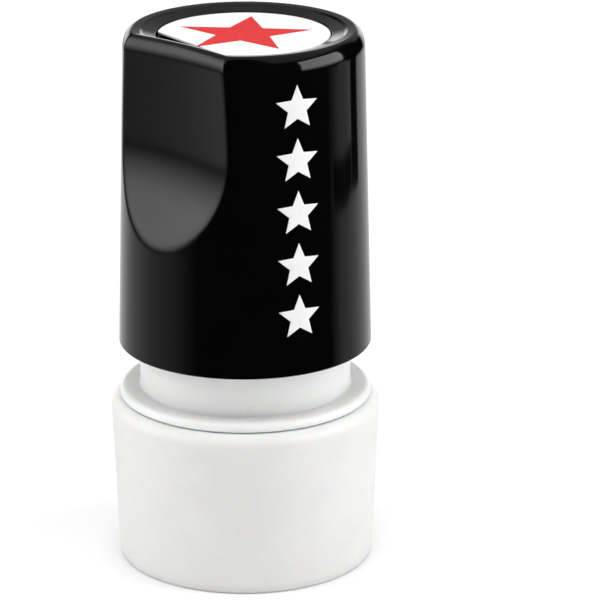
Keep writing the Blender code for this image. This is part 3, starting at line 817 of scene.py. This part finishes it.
def film(name, corners, low, high):
    """A closed flat film between two heights."""
    work = bmesh.new()
    base = work.faces.new([work.verts.new((x, y, low)) for x, y in corners])
    raised = bmesh.ops.extrude_face_region(work, geom=[base])["geom"]
    for part in raised:
        if isinstance(part, bmesh.types.BMVert):
            part.co.z = high
    bmesh.ops.triangulate(work, faces=work.faces)
    mesh = bpy.data.meshes.new(name)
    work.to_mesh(mesh)
    work.free()
    return finished(mesh)


STAR_RADIUS = 7.1 * MM
STAR_WAIST = 0.40
STAR_TURN = CAMERA_TURN + math.radians(30.5)
INK_LIFT = 0.004 * MM
INK_THICKNESS = 0.012 * MM
star_mesh = film("label_star", star_points(STAR_RADIUS, STAR_WAIST, STAR_TURN),
                 label_high.z + INK_LIFT, label_high.z + INK_LIFT + INK_THICKNESS)
place_piece(star_mesh, star_ink, "handle", None)

# %% [markdown]
# ## The printed marks
# A column of small white stars is printed up the handle. Five flat stars could be bent by hand,
# but a rule does it for any number: geometry nodes lay one star flat, repeat it along a line
# and wrap the line's plane onto the barrel. The film has a real thickness, sunk a little into
# the plastic.

# %% Geometry nodes: stars wrapped on the barrel
MARK_COUNT = 5
MARK_RADIUS = 2.35 * MM
MARK_PITCH = 5.35 * MM
MARK_LOW_Z = 29.2 * MM
MARK_TURN = CAMERA_TURN + math.radians(26.0)
wrapped, given, result = open_group(
    "Printed column", "GeometryNodeTree",
    {
        "Geometry": (GEOMETRY, None),
        "Count": (COUNT, MARK_COUNT),
        "Star Radius": (NUMBER, MARK_RADIUS),
        "Star Waist": (NUMBER, MARK_RADIUS * 0.45),
        "Pitch": (NUMBER, MARK_PITCH),
        "First Height": (NUMBER, MARK_LOW_Z),
        "Turn": (NUMBER, MARK_TURN),
        "Foot Height": (NUMBER, HANDLE_Z),
        "Foot Radius": (NUMBER, HANDLE_FOOT_RADIUS),
        "Draft": (NUMBER, (HANDLE_TOP_RADIUS - HANDLE_FOOT_RADIUS) / HANDLE_HEIGHT),
        "Sunk": (NUMBER, 0.02 * MM),
        "Proud": (NUMBER, 0.012 * MM),
        "Material": (MATERIAL, None),
    },
    {"Geometry": GEOMETRY},
)
star_curve = add(wrapped, "GeometryNodeCurveStar", {
    "Points": 5, "Inner Radius": given["Star Waist"], "Outer Radius": given["Star Radius"], "Twist": 0.0,
})
sheet = add(wrapped, "GeometryNodeFillCurve", {0: star_curve.outputs[0]})
upright = add(wrapped, "GeometryNodeTransform",
              {"Geometry": sheet.outputs[0], "Rotation": (0.0, 0.0, math.pi / 2)})
fine_sheet = add(wrapped, "GeometryNodeSubdivideMesh", {"Mesh": upright.outputs[0], "Level": 3})
line = add(wrapped, "GeometryNodeMeshLine", {"Count": given["Count"]})
offset = add(wrapped, "ShaderNodeCombineXYZ", {1: given["Pitch"]})
put(wrapped, line.inputs["Offset"], offset.outputs[0])
copies = add(wrapped, "GeometryNodeInstanceOnPoints",
             {"Points": line.outputs[0], "Instance": fine_sheet.outputs[0]})
flat_copies = add(wrapped, "GeometryNodeRealizeInstances", {0: copies.outputs[0]})
flat_position = add(wrapped, "GeometryNodeInputPosition").outputs[0]
place = add(wrapped, "ShaderNodeSeparateXYZ", {0: flat_position}).outputs


def on_barrel(source, stand_off):
    """Wrap a flat sheet on the barrel at a distance from its surface, as nodes."""
    height = calc(wrapped, "ADD", place["Y"], given["First Height"])
    above_foot = calc(wrapped, "SUBTRACT", height, given["Foot Height"])
    barrel_here = calc(wrapped, "MULTIPLY_ADD", above_foot, given["Draft"], given["Foot Radius"])
    angle = calc(wrapped, "ADD", calc(wrapped, "DIVIDE", place["X"], barrel_here), given["Turn"])
    reach = calc(wrapped, "ADD", barrel_here, stand_off)
    across = calc(wrapped, "MULTIPLY", reach, calc(wrapped, "SINE", angle))
    forward = calc(wrapped, "MULTIPLY", reach, calc(wrapped, "COSINE", angle))
    depth = calc(wrapped, "MULTIPLY", forward, -1.0)
    point = add(wrapped, "ShaderNodeCombineXYZ", {0: across, 1: depth, 2: height})
    bent = add(wrapped, "GeometryNodeSetPosition", {"Geometry": source, "Position": point.outputs[0]})
    return bent.outputs[0]


outer_film = on_barrel(flat_copies.outputs[0], given["Proud"])
sunk_sheet = on_barrel(flat_copies.outputs[0], calc(wrapped, "MULTIPLY", given["Sunk"], -1.0))
inner_film = add(wrapped, "GeometryNodeFlipFaces", {0: sunk_sheet}).outputs[0]
both = add(wrapped, "GeometryNodeJoinGeometry")
wrapped.links.new(outer_film, both.inputs[0])
wrapped.links.new(inner_film, both.inputs[0])
close_tree(wrapped, result, both.outputs[0], given["Material"])


# %% Grow the marks
def close_film(mesh):
    """Join the outer and inner sheets of a film round their edges."""
    work = bmesh.new()
    work.from_mesh(mesh)
    rim = [edge for edge in work.edges if edge.is_boundary]
    half = len(work.verts) // 2
    work.verts.ensure_lookup_table()
    for edge in rim:
        first, second = (vert.index for vert in edge.verts)
        if first < half:
            work.faces.new([work.verts[i] for i in (first, second, second + half, first + half)])
    bmesh.ops.recalc_face_normals(work, faces=work.faces)
    work.to_mesh(mesh)
    work.free()
    return mesh


holder_mesh = bpy.data.meshes.new("marks")
marks_mesh = close_film(grow("printed_marks", wrapped, holder_mesh, {"Material": mark_ink}))
place_piece(marks_mesh, None, "handle", None)

# %% [markdown]
# ## The housing
# The housing is one turned moulding: the skirt inside the cap, a thin flange that covers the
# cap's mouth, and the neck that the handle slides over. A web with a guide for the post closes
# it across the middle. One outline that runs all the way round it keeps it one closed body.

# %% Housing
housing_low, housing_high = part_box("housing")
SKIRT_RADIUS = 11.5 * MM
SKIRT_BORE = 10.3 * MM
FLANGE_RADIUS = 12.95 * MM
FLANGE_Z = 17.36 * MM
FLANGE_TOP_Z = 18.35 * MM
NECK_RADIUS = 10.85 * MM
NECK_BORE = 9.65 * MM
WEB_Z = 13.9 * MM
WEB_TOP_Z = 15.1 * MM
GUIDE_RADIUS = 4.5 * MM
GUIDE_TOP_Z = 19.7 * MM
housing_corners = [
    (SKIRT_RADIUS, housing_low.z, 0.3 * MM), (SKIRT_RADIUS, FLANGE_Z, 0.15 * MM),
    (FLANGE_RADIUS, FLANGE_Z, 0.25 * MM), (FLANGE_RADIUS, FLANGE_TOP_Z, 0.6 * MM),
    (NECK_RADIUS, FLANGE_TOP_Z, 0.2 * MM), (NECK_RADIUS, housing_high.z, 0.4 * MM),
    (NECK_BORE, housing_high.z, 0.3 * MM), (NECK_BORE, WEB_TOP_Z, 0.3 * MM),
    (GUIDE_RADIUS, WEB_TOP_Z, 0.2 * MM), (GUIDE_RADIUS, GUIDE_TOP_Z, 0.15 * MM),
    (POST_HOLE, GUIDE_TOP_Z, 0.15 * MM), (POST_HOLE, WEB_Z, 0.15 * MM),
    (SKIRT_BORE, WEB_Z, 0.3 * MM), (SKIRT_BORE, housing_low.z, 0.3 * MM),
]
housing_mesh = turned_mesh("housing_body", rounded(housing_corners, closed=True), True)
place_piece(housing_mesh, housing_white, "housing", "housing")

# %% [markdown]
# ## The dust cap
# The cap is a cup with a soft shoulder, drafted towards its foot so that it leaves its mould.
# Its outline is turned like the housing's. Inside, six ribs grip the skirt. They are the same
# block six times round a circle, so geometry nodes repeat one.

# %% Cap
cap_low, cap_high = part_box("dust_cap")
CAP_RADIUS = 14.0 * MM
CAP_FOOT_RADIUS = 13.15 * MM
CAP_BORE = 11.95 * MM
CAP_MOUTH = 12.6 * MM
CAP_FLOOR_Z = 1.2 * MM
CAP_LEDGE_Z = 1.9 * MM
CAP_LEDGE_RADIUS = 10.45 * MM
FOOT_INNER = 11.05 * MM
cap_corners = [
    (0.0, CAP_FLOOR_Z, 0.0), (CAP_LEDGE_RADIUS, CAP_FLOOR_Z, 0.2 * MM),
    (CAP_LEDGE_RADIUS, CAP_LEDGE_Z, 0.2 * MM), (CAP_BORE, CAP_LEDGE_Z, 0.3 * MM),
    (CAP_MOUTH, cap_high.z, 0.15 * MM), (CAP_RADIUS - 0.06 * MM, cap_high.z, 1.15 * MM),
    (CAP_FOOT_RADIUS, 0.0, 0.3 * MM), (FOOT_INNER, 0.0, 0.15 * MM),
    (FOOT_INNER - 0.4 * MM, 0.4 * MM, 0.15 * MM), (0.0, 0.4 * MM, 0.0),
]
cap_mesh = turned_mesh("cap_cup", rounded(cap_corners, closed=False), False)
place_piece(cap_mesh, cap_white, "cap", "dust_cap")

# %% Geometry nodes: grip ribs
repeated, given, result = open_group(
    "Grip ribs", "GeometryNodeTree",
    {
        "Geometry": (GEOMETRY, None),
        "Count": (COUNT, 6),
        "Circle Radius": (NUMBER, 12.2 * MM),
        "Rib Depth": (NUMBER, 0.8 * MM),
        "Rib Width": (NUMBER, 1.2 * MM),
        "Rib Height": (NUMBER, 13.5 * MM),
        "Middle Height": (NUMBER, 8.4 * MM),
        "Material": (MATERIAL, None),
    },
    {"Geometry": GEOMETRY},
)
circle = add(repeated, "GeometryNodeMeshCircle",
             {"Vertices": given["Count"], "Radius": given["Circle Radius"]})
half_step = calc(repeated, "DIVIDE", math.pi, given["Count"])
turn = add(repeated, "ShaderNodeCombineXYZ", {2: half_step})
lifted = add(repeated, "ShaderNodeCombineXYZ", {2: given["Middle Height"]})
placed = add(repeated, "GeometryNodeTransform",
             {"Geometry": circle.outputs[0], "Translation": lifted.outputs[0], "Rotation": turn.outputs[0]})
block_size = add(repeated, "ShaderNodeCombineXYZ",
                 {0: given["Rib Depth"], 1: given["Rib Width"], 2: given["Rib Height"]})
block = add(repeated, "GeometryNodeMeshCube", {"Size": block_size.outputs[0]})
rib_position = add(repeated, "GeometryNodeInputPosition").outputs[0]
spot = add(repeated, "ShaderNodeSeparateXYZ", {0: rib_position}).outputs
facing_angle = add(repeated, "ShaderNodeCombineXYZ", {2: calc(repeated, "ARCTAN2", spot["Y"], spot["X"])})
ribs_made = add(repeated, "GeometryNodeInstanceOnPoints", {
    "Points": placed.outputs[0], "Instance": block.outputs[0], "Rotation": facing_angle.outputs[0],
})
close_tree(repeated, result, ribs_made.outputs[0], given["Material"])
rib_grown = grow("cap_ribs", repeated, bpy.data.meshes.new("ribs"), {"Material": cap_white})
place_piece(rib_grown, None, "cap", None)

# %% [markdown]
# ## Inside
# The plunger carries the die and the ink pad in a cup, and its hollow post comes up through the
# housing to the handle. These pieces show when the handle is pulled off or the stamp is lifted
# out of its cap. They are turned too, with the post's two flats cut by its own reach rule.

# %% Plunger
plunger_low, plunger_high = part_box("plunger")
POST_RADIUS = 3.6 * MM
POST_FLAT = 3.1 * MM
POST_BORE = 2.0 * MM
CARRIAGE_RADIUS = 10.0 * MM
CARRIAGE_BORE = 9.3 * MM
ROOF_UNDER_Z = 12.4 * MM
ROOF_TOP_Z = 13.6 * MM


def post_reach(angles, radius, height):
    """Two flats across X on the post; the carriage and the bore stay round."""
    if radius > POST_RADIUS + 0.4 * MM or radius < POST_BORE + 0.5 * MM:
        return np.full(len(angles), radius)
    across = np.maximum(np.abs(np.sin(angles)), 1e-6)
    return np.minimum(radius, (POST_FLAT + radius - POST_RADIUS) / across)


plunger_corners = [
    (CARRIAGE_RADIUS, plunger_low.z, 0.2 * MM), (CARRIAGE_RADIUS, ROOF_TOP_Z, 0.4 * MM),
    (POST_RADIUS, ROOF_TOP_Z, 0.2 * MM), (POST_RADIUS, plunger_high.z, 0.3 * MM),
    (POST_BORE, plunger_high.z, 0.2 * MM), (POST_BORE, ROOF_UNDER_Z, 0.2 * MM),
    (CARRIAGE_BORE, ROOF_UNDER_Z, 0.2 * MM), (CARRIAGE_BORE, plunger_low.z, 0.15 * MM),
]
plunger_mesh = turned_mesh("plunger_body", rounded(plunger_corners, closed=True), True, reach=post_reach)
place_piece(plunger_mesh, mechanism_white, "plunger", "plunger")

# %% [markdown]
# Three small rings and stoppers hold the mechanism together: a collar keeps the spring down, a
# ring snaps in under the die, and a rubber plug closes the ink well. Each takes its heights
# from the frame, so it sits exactly where the mechanism leaves room for it.

# %% Spring collar, retaining ring and plug
collar_low, collar_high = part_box("spring_collar")
COLLAR_RADIUS = collar_high.x
collar_middle = (collar_low.z + collar_high.z) / 2
collar_corners = [
    (POST_HOLE, collar_low.z, 0.15 * MM), (COLLAR_RADIUS, collar_low.z, 0.2 * MM),
    (COLLAR_RADIUS, collar_middle, 0.2 * MM), (COLLAR_RADIUS - 1.2 * MM, collar_high.z, 0.25 * MM),
    (POST_HOLE, collar_high.z, 0.15 * MM),
]
collar_mesh = turned_mesh("collar_ring", rounded(collar_corners, closed=True), True)
place_piece(collar_mesh, mechanism_white, "plunger", "spring_collar")

ring_low, ring_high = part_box("die_retainer")
RING_OUTER = ring_high.x
RING_INNER = 8.25 * MM
ring_corners = [
    (RING_INNER, ring_low.z, 0.12 * MM), (RING_OUTER, ring_low.z, 0.12 * MM),
    (RING_OUTER, ring_high.z, 0.12 * MM), (RING_INNER, ring_high.z, 0.12 * MM),
]
ring_mesh = turned_mesh("retaining_ring", rounded(ring_corners, closed=True), True)
place_piece(ring_mesh, mechanism_white, "plunger", "die_retainer")

plug_low, plug_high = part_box("filler_plug")
PLUG_STEM_RADIUS = 1.7 * MM
PLUG_HEAD_RADIUS = 3.0 * MM
PLUG_NUB_RADIUS = 1.2 * MM
PLUG_HEAD_Z = 44.3 * MM
PLUG_HEAD_TOP_Z = 45.6 * MM
plug_corners = [
    (0.0, plug_low.z, 0.0), (PLUG_STEM_RADIUS, plug_low.z, 0.4 * MM),
    (PLUG_STEM_RADIUS, PLUG_HEAD_Z, 0.15 * MM), (PLUG_HEAD_RADIUS, PLUG_HEAD_Z, 0.25 * MM),
    (PLUG_HEAD_RADIUS, PLUG_HEAD_TOP_Z, 0.35 * MM), (PLUG_NUB_RADIUS, PLUG_HEAD_TOP_Z, 0.3 * MM),
    (PLUG_NUB_RADIUS, plug_high.z, 0.5 * MM), (0.0, plug_high.z, 0.0),
]
plug_mesh = turned_mesh("ink_plug", rounded(plug_corners, closed=False), False)
place_piece(plug_mesh, plug_rubber, "plug", "filler_plug")

# %% [markdown]
# The pad is a plain disc of felt with soft edges. Its fibres come from its finish, because hair
# this short would cost thousands of strands that nobody sees.

# %% Ink pad
pad_low, pad_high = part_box("ink_pad")
PAD_RADIUS = pad_high.x
pad_corners = [
    (0.0, pad_low.z, 0.0), (PAD_RADIUS, pad_low.z, 0.35 * MM),
    (PAD_RADIUS, pad_high.z, 0.35 * MM), (0.0, pad_high.z, 0.0),
]
pad_mesh = turned_mesh("felt_pad", rounded(pad_corners, closed=False), False)
place_piece(pad_mesh, pad_felt, "plunger", "ink_pad")

# %% [markdown]
# The die prints a star. Its foam block has a flange that the ring holds, and the star stands
# out below in relief. A bump would look flat from the side, so the star is real, welded on.

# %% Die
die_low, die_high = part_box("die")
DIE_RADIUS = die_high.x
DIE_FACE_RADIUS = 7.95 * MM
DIE_FACE_Z = 7.4 * MM
DIE_FLANGE_Z = 8.0 * MM
die_corners = [
    (0.0, DIE_FACE_Z, 0.0), (DIE_FACE_RADIUS, DIE_FACE_Z, 0.15 * MM),
    (DIE_FACE_RADIUS, DIE_FLANGE_Z, 0.1 * MM), (DIE_RADIUS, DIE_FLANGE_Z, 0.15 * MM),
    (DIE_RADIUS, die_high.z, 0.15 * MM), (0.0, die_high.z, 0.0),
]
die_block = turned_mesh("die_block", rounded(die_corners, closed=False), False)
DIE_STAR_RADIUS = 7.4 * MM
DIE_STAR_WAIST = 0.382
STAR_BITE = 0.2 * MM
die_star = film("die_star", star_points(DIE_STAR_RADIUS, DIE_STAR_WAIST, 0.0), die_low.z,
                DIE_FACE_Z + STAR_BITE)
place_piece(welded(die_block, [die_star]), die_foam, "plunger", "die")

# %% [markdown]
# ## The return spring
# A spring is a path with a wire swept along it. The tree counts points up a line, turns each
# by its share of the coils, and sets its height by a rule: close turns at both ends, open ones
# between.

# %% Geometry nodes: coil
spring_low, spring_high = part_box("return_spring")
WIRE_RADIUS = 0.4 * MM
COIL_RADIUS = spring_high.x - WIRE_RADIUS
END_PITCH = 1.0 * MM
OPEN_TURNS = 5
STEPS_A_TURN = 36
WIRE_SIDES = 14
coil, given, result = open_group(
    "Coil", "GeometryNodeTree",
    {
        "Geometry": (GEOMETRY, None),
        "Open Turns": (COUNT, OPEN_TURNS),
        "Steps": (COUNT, STEPS_A_TURN),
        "Coil Radius": (NUMBER, COIL_RADIUS),
        "Wire Radius": (NUMBER, WIRE_RADIUS),
        "End Pitch": (NUMBER, END_PITCH),
        "Low": (NUMBER, spring_low.z),
        "High": (NUMBER, spring_high.z),
        "Material": (MATERIAL, None),
    },
    {"Geometry": GEOMETRY},
)
turns = calc(coil, "ADD", given["Open Turns"], 2.0)
count = calc(coil, "ADD", calc(coil, "MULTIPLY", turns, given["Steps"]), 1.0)
wire_line = add(coil, "GeometryNodeMeshLine", {"Count": count})
wire_path = add(coil, "GeometryNodeMeshToCurve", {0: wire_line.outputs[0]})
done = calc(coil, "DIVIDE", add(coil, "GeometryNodeInputIndex").outputs[0], given["Steps"])
angle = calc(coil, "MULTIPLY", done, math.tau)
base_z = calc(coil, "ADD", given["Low"], given["Wire Radius"])
span = calc(coil, "SUBTRACT", calc(coil, "SUBTRACT", given["High"], given["Low"]),
            calc(coil, "MULTIPLY", given["Wire Radius"], 2.0))
open_span = calc(coil, "SUBTRACT", span, calc(coil, "MULTIPLY", given["End Pitch"], 2.0))
open_pitch = calc(coil, "DIVIDE", open_span, given["Open Turns"])
closed_part = calc(coil, "MULTIPLY", done, given["End Pitch"])
past_first = calc(coil, "MAXIMUM", calc(coil, "SUBTRACT", done, 1.0), 0.0)
opened = calc(coil, "MINIMUM", past_first, given["Open Turns"])
extra = calc(coil, "MULTIPLY", opened, calc(coil, "SUBTRACT", open_pitch, given["End Pitch"]))
wire_height = calc(coil, "ADD", calc(coil, "ADD", closed_part, extra), base_z)
wire_point = add(coil, "ShaderNodeCombineXYZ", {
    0: calc(coil, "MULTIPLY", calc(coil, "COSINE", angle), given["Coil Radius"]),
    1: calc(coil, "MULTIPLY", calc(coil, "SINE", angle), given["Coil Radius"]),
    2: wire_height,
})
wound = add(coil, "GeometryNodeSetPosition",
            {"Geometry": wire_path.outputs[0], "Position": wire_point.outputs[0]})
wire_ring = add(coil, "GeometryNodeCurvePrimitiveCircle",
                {"Resolution": WIRE_SIDES, "Radius": given["Wire Radius"]})
wire = add(coil, "GeometryNodeCurveToMesh",
           {"Curve": wound.outputs[0], "Profile Curve": wire_ring.outputs[0], "Fill Caps": True})
close_tree(coil, result, wire.outputs[0], given["Material"])
spring_mesh = grow("spring_coil", coil, bpy.data.meshes.new("coil"), {"Material": spring_steel})
spring = place_piece(spring_mesh, None, "housing", "return_spring")
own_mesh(spring)

# %% [markdown]
# ## The studio
# The stamp stands on a plain white sweep that is lit until it is paper white. Lights alone would
# leave the far floor grey, so the paper itself glows a little, more with distance. The glossy
# plastic doesn't see this floor, because the surround below gives it a better table.

# %% Floor
FLOOR_HALF = 2.0
floor_mesh = bpy.data.meshes.new("floor")
floor_corners = [(x * FLOOR_HALF, y * FLOOR_HALF, 0.0) for x, y in ((-1, -1), (1, -1), (1, 1), (-1, 1))]
floor_mesh.from_pydata(floor_corners, [], [(0, 1, 2, 3)])
floor_paint, tree, shader, place = open_material("floor paper", Roughness=0.9)
from_stamp = add(tree, "ShaderNodeVectorMath", {0: place}, operation="LENGTH").outputs["Value"]
lit = add(tree, "ShaderNodeMapRange", interpolation_type="SMOOTHSTEP", inputs={
    "Value": from_stamp, "From Min": 0.06, "From Max": 0.7, "To Min": 0.02, "To Max": 0.76,
})
put(tree, shader.inputs["Emission Strength"], lit.outputs["Result"])
tooth = add(tree, "ShaderNodeTexNoise", {"Vector": place, "Scale": 900.0, "Detail": 3.0})
put(tree, shader.inputs["Base Color"],
    two_tone(tree, tooth.outputs["Fac"], (0.88, 0.88, 0.88), (0.86, 0.86, 0.86)))
shader.inputs["Emission Color"].default_value = (1.0, 1.0, 1.0, 1.0)
shader.inputs["Specular IOR Level"].default_value = 0.0
floor_mesh.materials.append(floor_paint)
floor_piece = bpy.data.objects.new("floor", floor_mesh)
scene.collection.objects.link(floor_piece)
floor_piece.visible_glossy = False
print("floor:", 2 * FLOOR_HALF, "m across")

# %% [markdown]
# Black gloss has hardly a colour of its own: it shows what stands round it. So the room is
# drawn for it on the world, where no card has to be hidden from the viewer. Below the horizon
# is a table that is bright behind the stamp and dark towards the viewer, and round it stand
# four soft panels. The one at the left lights the floor of the scoop. Azimuth 0 is straight
# away from the viewer and positive is to the right; elevation 0 is level.

# %% Shader group: soft panel
panel, given, result = open_group(
    "Soft panel", "ShaderNodeTree",
    {
        "Azimuth": (NUMBER, 0.0),
        "Elevation": (NUMBER, 0.0),
        "Middle Azimuth": (NUMBER, 0.0),
        "Middle Elevation": (NUMBER, 0.0),
        "Half Width": (NUMBER, 20.0),
        "Half Height": (NUMBER, 20.0),
        "Softness": (NUMBER, 6.0),
        "Level": (NUMBER, 1.0),
    },
    {"Level": NUMBER},
)


def fall_off(value, middle, half):
    """1 inside the panel, falling to 0 across its soft edge, as nodes."""
    away = calc(panel, "ABSOLUTE", calc(panel, "SUBTRACT", value, middle))
    edge = calc(panel, "DIVIDE", calc(panel, "SUBTRACT", half, away), given["Softness"])
    spread = add(panel, "ShaderNodeMapRange", {"Value": edge, "From Min": -1.0, "From Max": 1.0},
                 interpolation_type="SMOOTHSTEP")
    return spread.outputs["Result"]


across = fall_off(given["Azimuth"], given["Middle Azimuth"], given["Half Width"])
upright = fall_off(given["Elevation"], given["Middle Elevation"], given["Half Height"])
inside = calc(panel, "MULTIPLY", across, upright)
put(panel, result["Level"], calc(panel, "MULTIPLY", inside, given["Level"]))
print("group:", panel.name, "with", len(panel.nodes), "nodes")

# %% Surround
world = bpy.data.worlds.new("studio")
scene.world = world
world.use_nodes = True
tree = world.node_tree
tree.nodes.clear()
direction = add(tree, "ShaderNodeTexCoord").outputs["Generated"]
turned_room = add(tree, "ShaderNodeMapping", {"Vector": direction, "Rotation": (0.0, 0.0, -CAMERA_TURN)})
axes = add(tree, "ShaderNodeSeparateXYZ", {0: turned_room.outputs[0]}).outputs
azimuth = calc(tree, "DEGREES", calc(tree, "ARCTAN2", axes["X"], axes["Y"]))
elevation = calc(tree, "DEGREES", calc(tree, "ARCSINE", axes["Z"]))
ramp = add(tree, "ShaderNodeValToRGB", {0: calc(tree, "MULTIPLY_ADD", azimuth, 1 / 360, 0.5)})
TABLE_STOPS = (
    (-180, 0.0), (-136, 0.0), (-124, 0.14), (-112, 0.28), (-90, 0.42), (-76, 0.56), (-60, 0.66),
    (-48, 0.80), (-36, 1.02), (-16, 1.12), (0, 1.05), (16, 1.05), (32, 1.0), (44, 0.80), (56, 0.62),
    (68, 0.48), (80, 0.40), (88, 0.16), (94, 0.0), (180, 0.0),
)
stops = ramp.color_ramp.elements
while len(stops) < len(TABLE_STOPS):
    stops.new(0.5)
for stop, (degrees, level) in zip(stops, TABLE_STOPS):
    stop.position = degrees / 360 + 0.5
    stop.color = (level, level, level, 1.0)
table_part = group(tree, panel, Azimuth=0.0, Elevation=elevation, Middle_Elevation=-50.0, Half_Width=30.0,
                   Half_Height=39.0, Softness=3.0, Level=1.0)["Level"]
room_level = calc(tree, "MULTIPLY", ramp.outputs["Color"], table_part)

# Middle azimuth and elevation, half width and height, softness (all in degrees) and level
PANELS = (
    (-6.0, 1.0, 30.0, 9.5, 5.0, 1.9),
    (12.0, 24.0, 26.0, 12.0, 6.0, 0.3),
    (-94.0, 22.0, 24.0, 21.0, 15.0, 2.7),
    (0.0, 66.0, 150.0, 28.0, 9.0, 0.42),
)
for middle, lift, half_width, half_height, softness, level in PANELS:
    glow = group(tree, panel, Azimuth=azimuth, Elevation=elevation, Middle_Azimuth=middle,
                 Middle_Elevation=lift, Half_Width=half_width, Half_Height=half_height, Softness=softness,
                 Level=level)["Level"]
    room_level = calc(tree, "ADD", room_level, glow)
room = add(tree, "ShaderNodeBackground", {"Strength": room_level})
fill = add(tree, "ShaderNodeBackground", {"Color": (0.9, 0.9, 0.9, 1.0), "Strength": 0.44})
white = add(tree, "ShaderNodeBackground", {"Color": (1.0, 1.0, 1.0, 1.0), "Strength": 1.05})
rays = add(tree, "ShaderNodeLightPath").outputs
soft = add(tree, "ShaderNodeMixShader", {0: rays["Is Glossy Ray"], 1: fill.outputs[0], 2: room.outputs[0]})
seen = add(tree, "ShaderNodeMixShader", {0: rays["Is Camera Ray"], 1: soft.outputs[0], 2: white.outputs[0]})
add(tree, "ShaderNodeOutputWorld", {0: seen.outputs[0]})
print("surround:", len(PANELS), "panels,", len(TABLE_STOPS), "stops on the table")

# %% [markdown]
# The white plastics need light from lamps, which give them their soft shading: one box at each
# side and one overhead. A lamp's bright rectangle would also mirror in the black handle, so
# the glossy plastic doesn't see them and keeps to the room drawn for it.


# %% Soft lights
def outward_at(azimuth):
    """The level direction from the stamp at an azimuth in degrees."""
    turn = math.radians(azimuth)
    return -toward * math.cos(turn) + right * math.sin(turn)


def soft_light(name, width, height, level, location, rotation):
    """A soft box of a given brightness that lights only what isn't glossy."""
    light = bpy.data.lights.new(name, "AREA")
    light.shape = "RECTANGLE"
    light.size, light.size_y = width, height
    light.energy = level * math.pi * light.size * light.size_y
    lamp = bpy.data.objects.new(name, light)
    scene.collection.objects.link(lamp)
    lamp.location = location
    lamp.rotation_mode = "QUATERNION"
    lamp.rotation_quaternion = rotation
    lamp.visible_glossy = lamp.visible_camera = False
    print("light:", name, round(light.energy, 2), "W")


FILL_DISTANCE = 380 * MM
FILL_WIDTH = 290 * MM
BOX_SIDE = 400 * MM
SIDE_FILLS = (("left fill", -92.0, 310 * MM, 2.6), ("right fill", 92.0, 260 * MM, 2.9))
for name, azimuth, middle, level in SIDE_FILLS:
    outward = outward_at(azimuth)
    soft_light(name, FILL_WIDTH, BOX_SIDE, level, outward * FILL_DISTANCE + up * middle,
               (-outward).to_track_quat("-Z", "Y"))
soft_light("overhead", BOX_SIDE, BOX_SIDE, 6.2, up * (700 * MM) + toward * (60 * MM), (1.0, 0.0, 0.0, 0.0))

# %% [markdown]
# The long highlight down the handle's right side comes from a lit card close by, which black
# flags trim. They are real cards on the stage because they stand close: the foot and the rim of
# the handle each see them in another direction, which a world that is endlessly far can't give.


# %% Cards near the stamp
def card(name, azimuth, distance, low, high, width, material):
    """An upright card that only the glossy plastic sees."""
    outward = outward_at(azimuth)
    side = outward.cross(up) * (width / 2)
    foot = outward * distance
    mesh = bpy.data.meshes.new(name)
    mesh.from_pydata([foot - side + up * low, foot + side + up * low, foot + side + up * high,
                      foot - side + up * high], [], [(0, 1, 2, 3)])
    mesh.materials.append(material)
    piece = bpy.data.objects.new(name, mesh)
    scene.collection.objects.link(piece)
    piece.visible_camera = piece.visible_diffuse = piece.visible_shadow = False
    print("card:", name, "at", azimuth, "degrees")


def card_finish(name, level, low, fade):
    """Black card, or a lit one whose glow rises from its low edge over a given height."""
    material, tree, shader, place = open_material(name, Roughness=1.0)
    shader.inputs["Specular IOR Level"].default_value = 0.0
    shader.inputs["Emission Color"].default_value = (1.0, 1.0, 1.0, 1.0)
    nap = add(tree, "ShaderNodeTexNoise", {"Vector": place, "Scale": 500.0})
    put(tree, shader.inputs["Base Color"],
        two_tone(tree, nap.outputs["Fac"], (0.001, 0.001, 0.001), (0.002, 0.002, 0.002)))
    height = add(tree, "ShaderNodeSeparateXYZ", {"Vector": place}).outputs["Z"]
    glow = add(tree, "ShaderNodeMapRange", interpolation_type="SMOOTHSTEP", inputs={
        "Value": height, "From Min": low, "From Max": low + fade, "To Min": 0.0, "To Max": level,
    })
    put(tree, shader.inputs["Emission Strength"], glow.outputs["Result"])
    return material


right_glow = card_finish("right glow", 2.9, 34 * MM, 26 * MM)
strip_glow = card_finish("strip glow", 0.33, 0.0, 1 * MM)
card("right box", 101.0, 152 * MM, 34 * MM, 137 * MM, 140 * MM, right_glow)
card("right strip", 77.0, 151 * MM, 8 * MM, 34 * MM, 34 * MM, strip_glow)
flag_black = card_finish("flag black", 0.0, 0.0, 1 * MM)
card("tall flag", 57.5, 149 * MM, 1 * MM, 140 * MM, 34 * MM, flag_black)
card("low flag", 78.0, 149 * MM, 0.5 * MM, 8 * MM, 72 * MM, flag_black)

# %% [markdown]
# ## Finish
# The colours are shown as they are, without a film look.

# %% Finish
scene.view_settings.view_transform = "Standard"
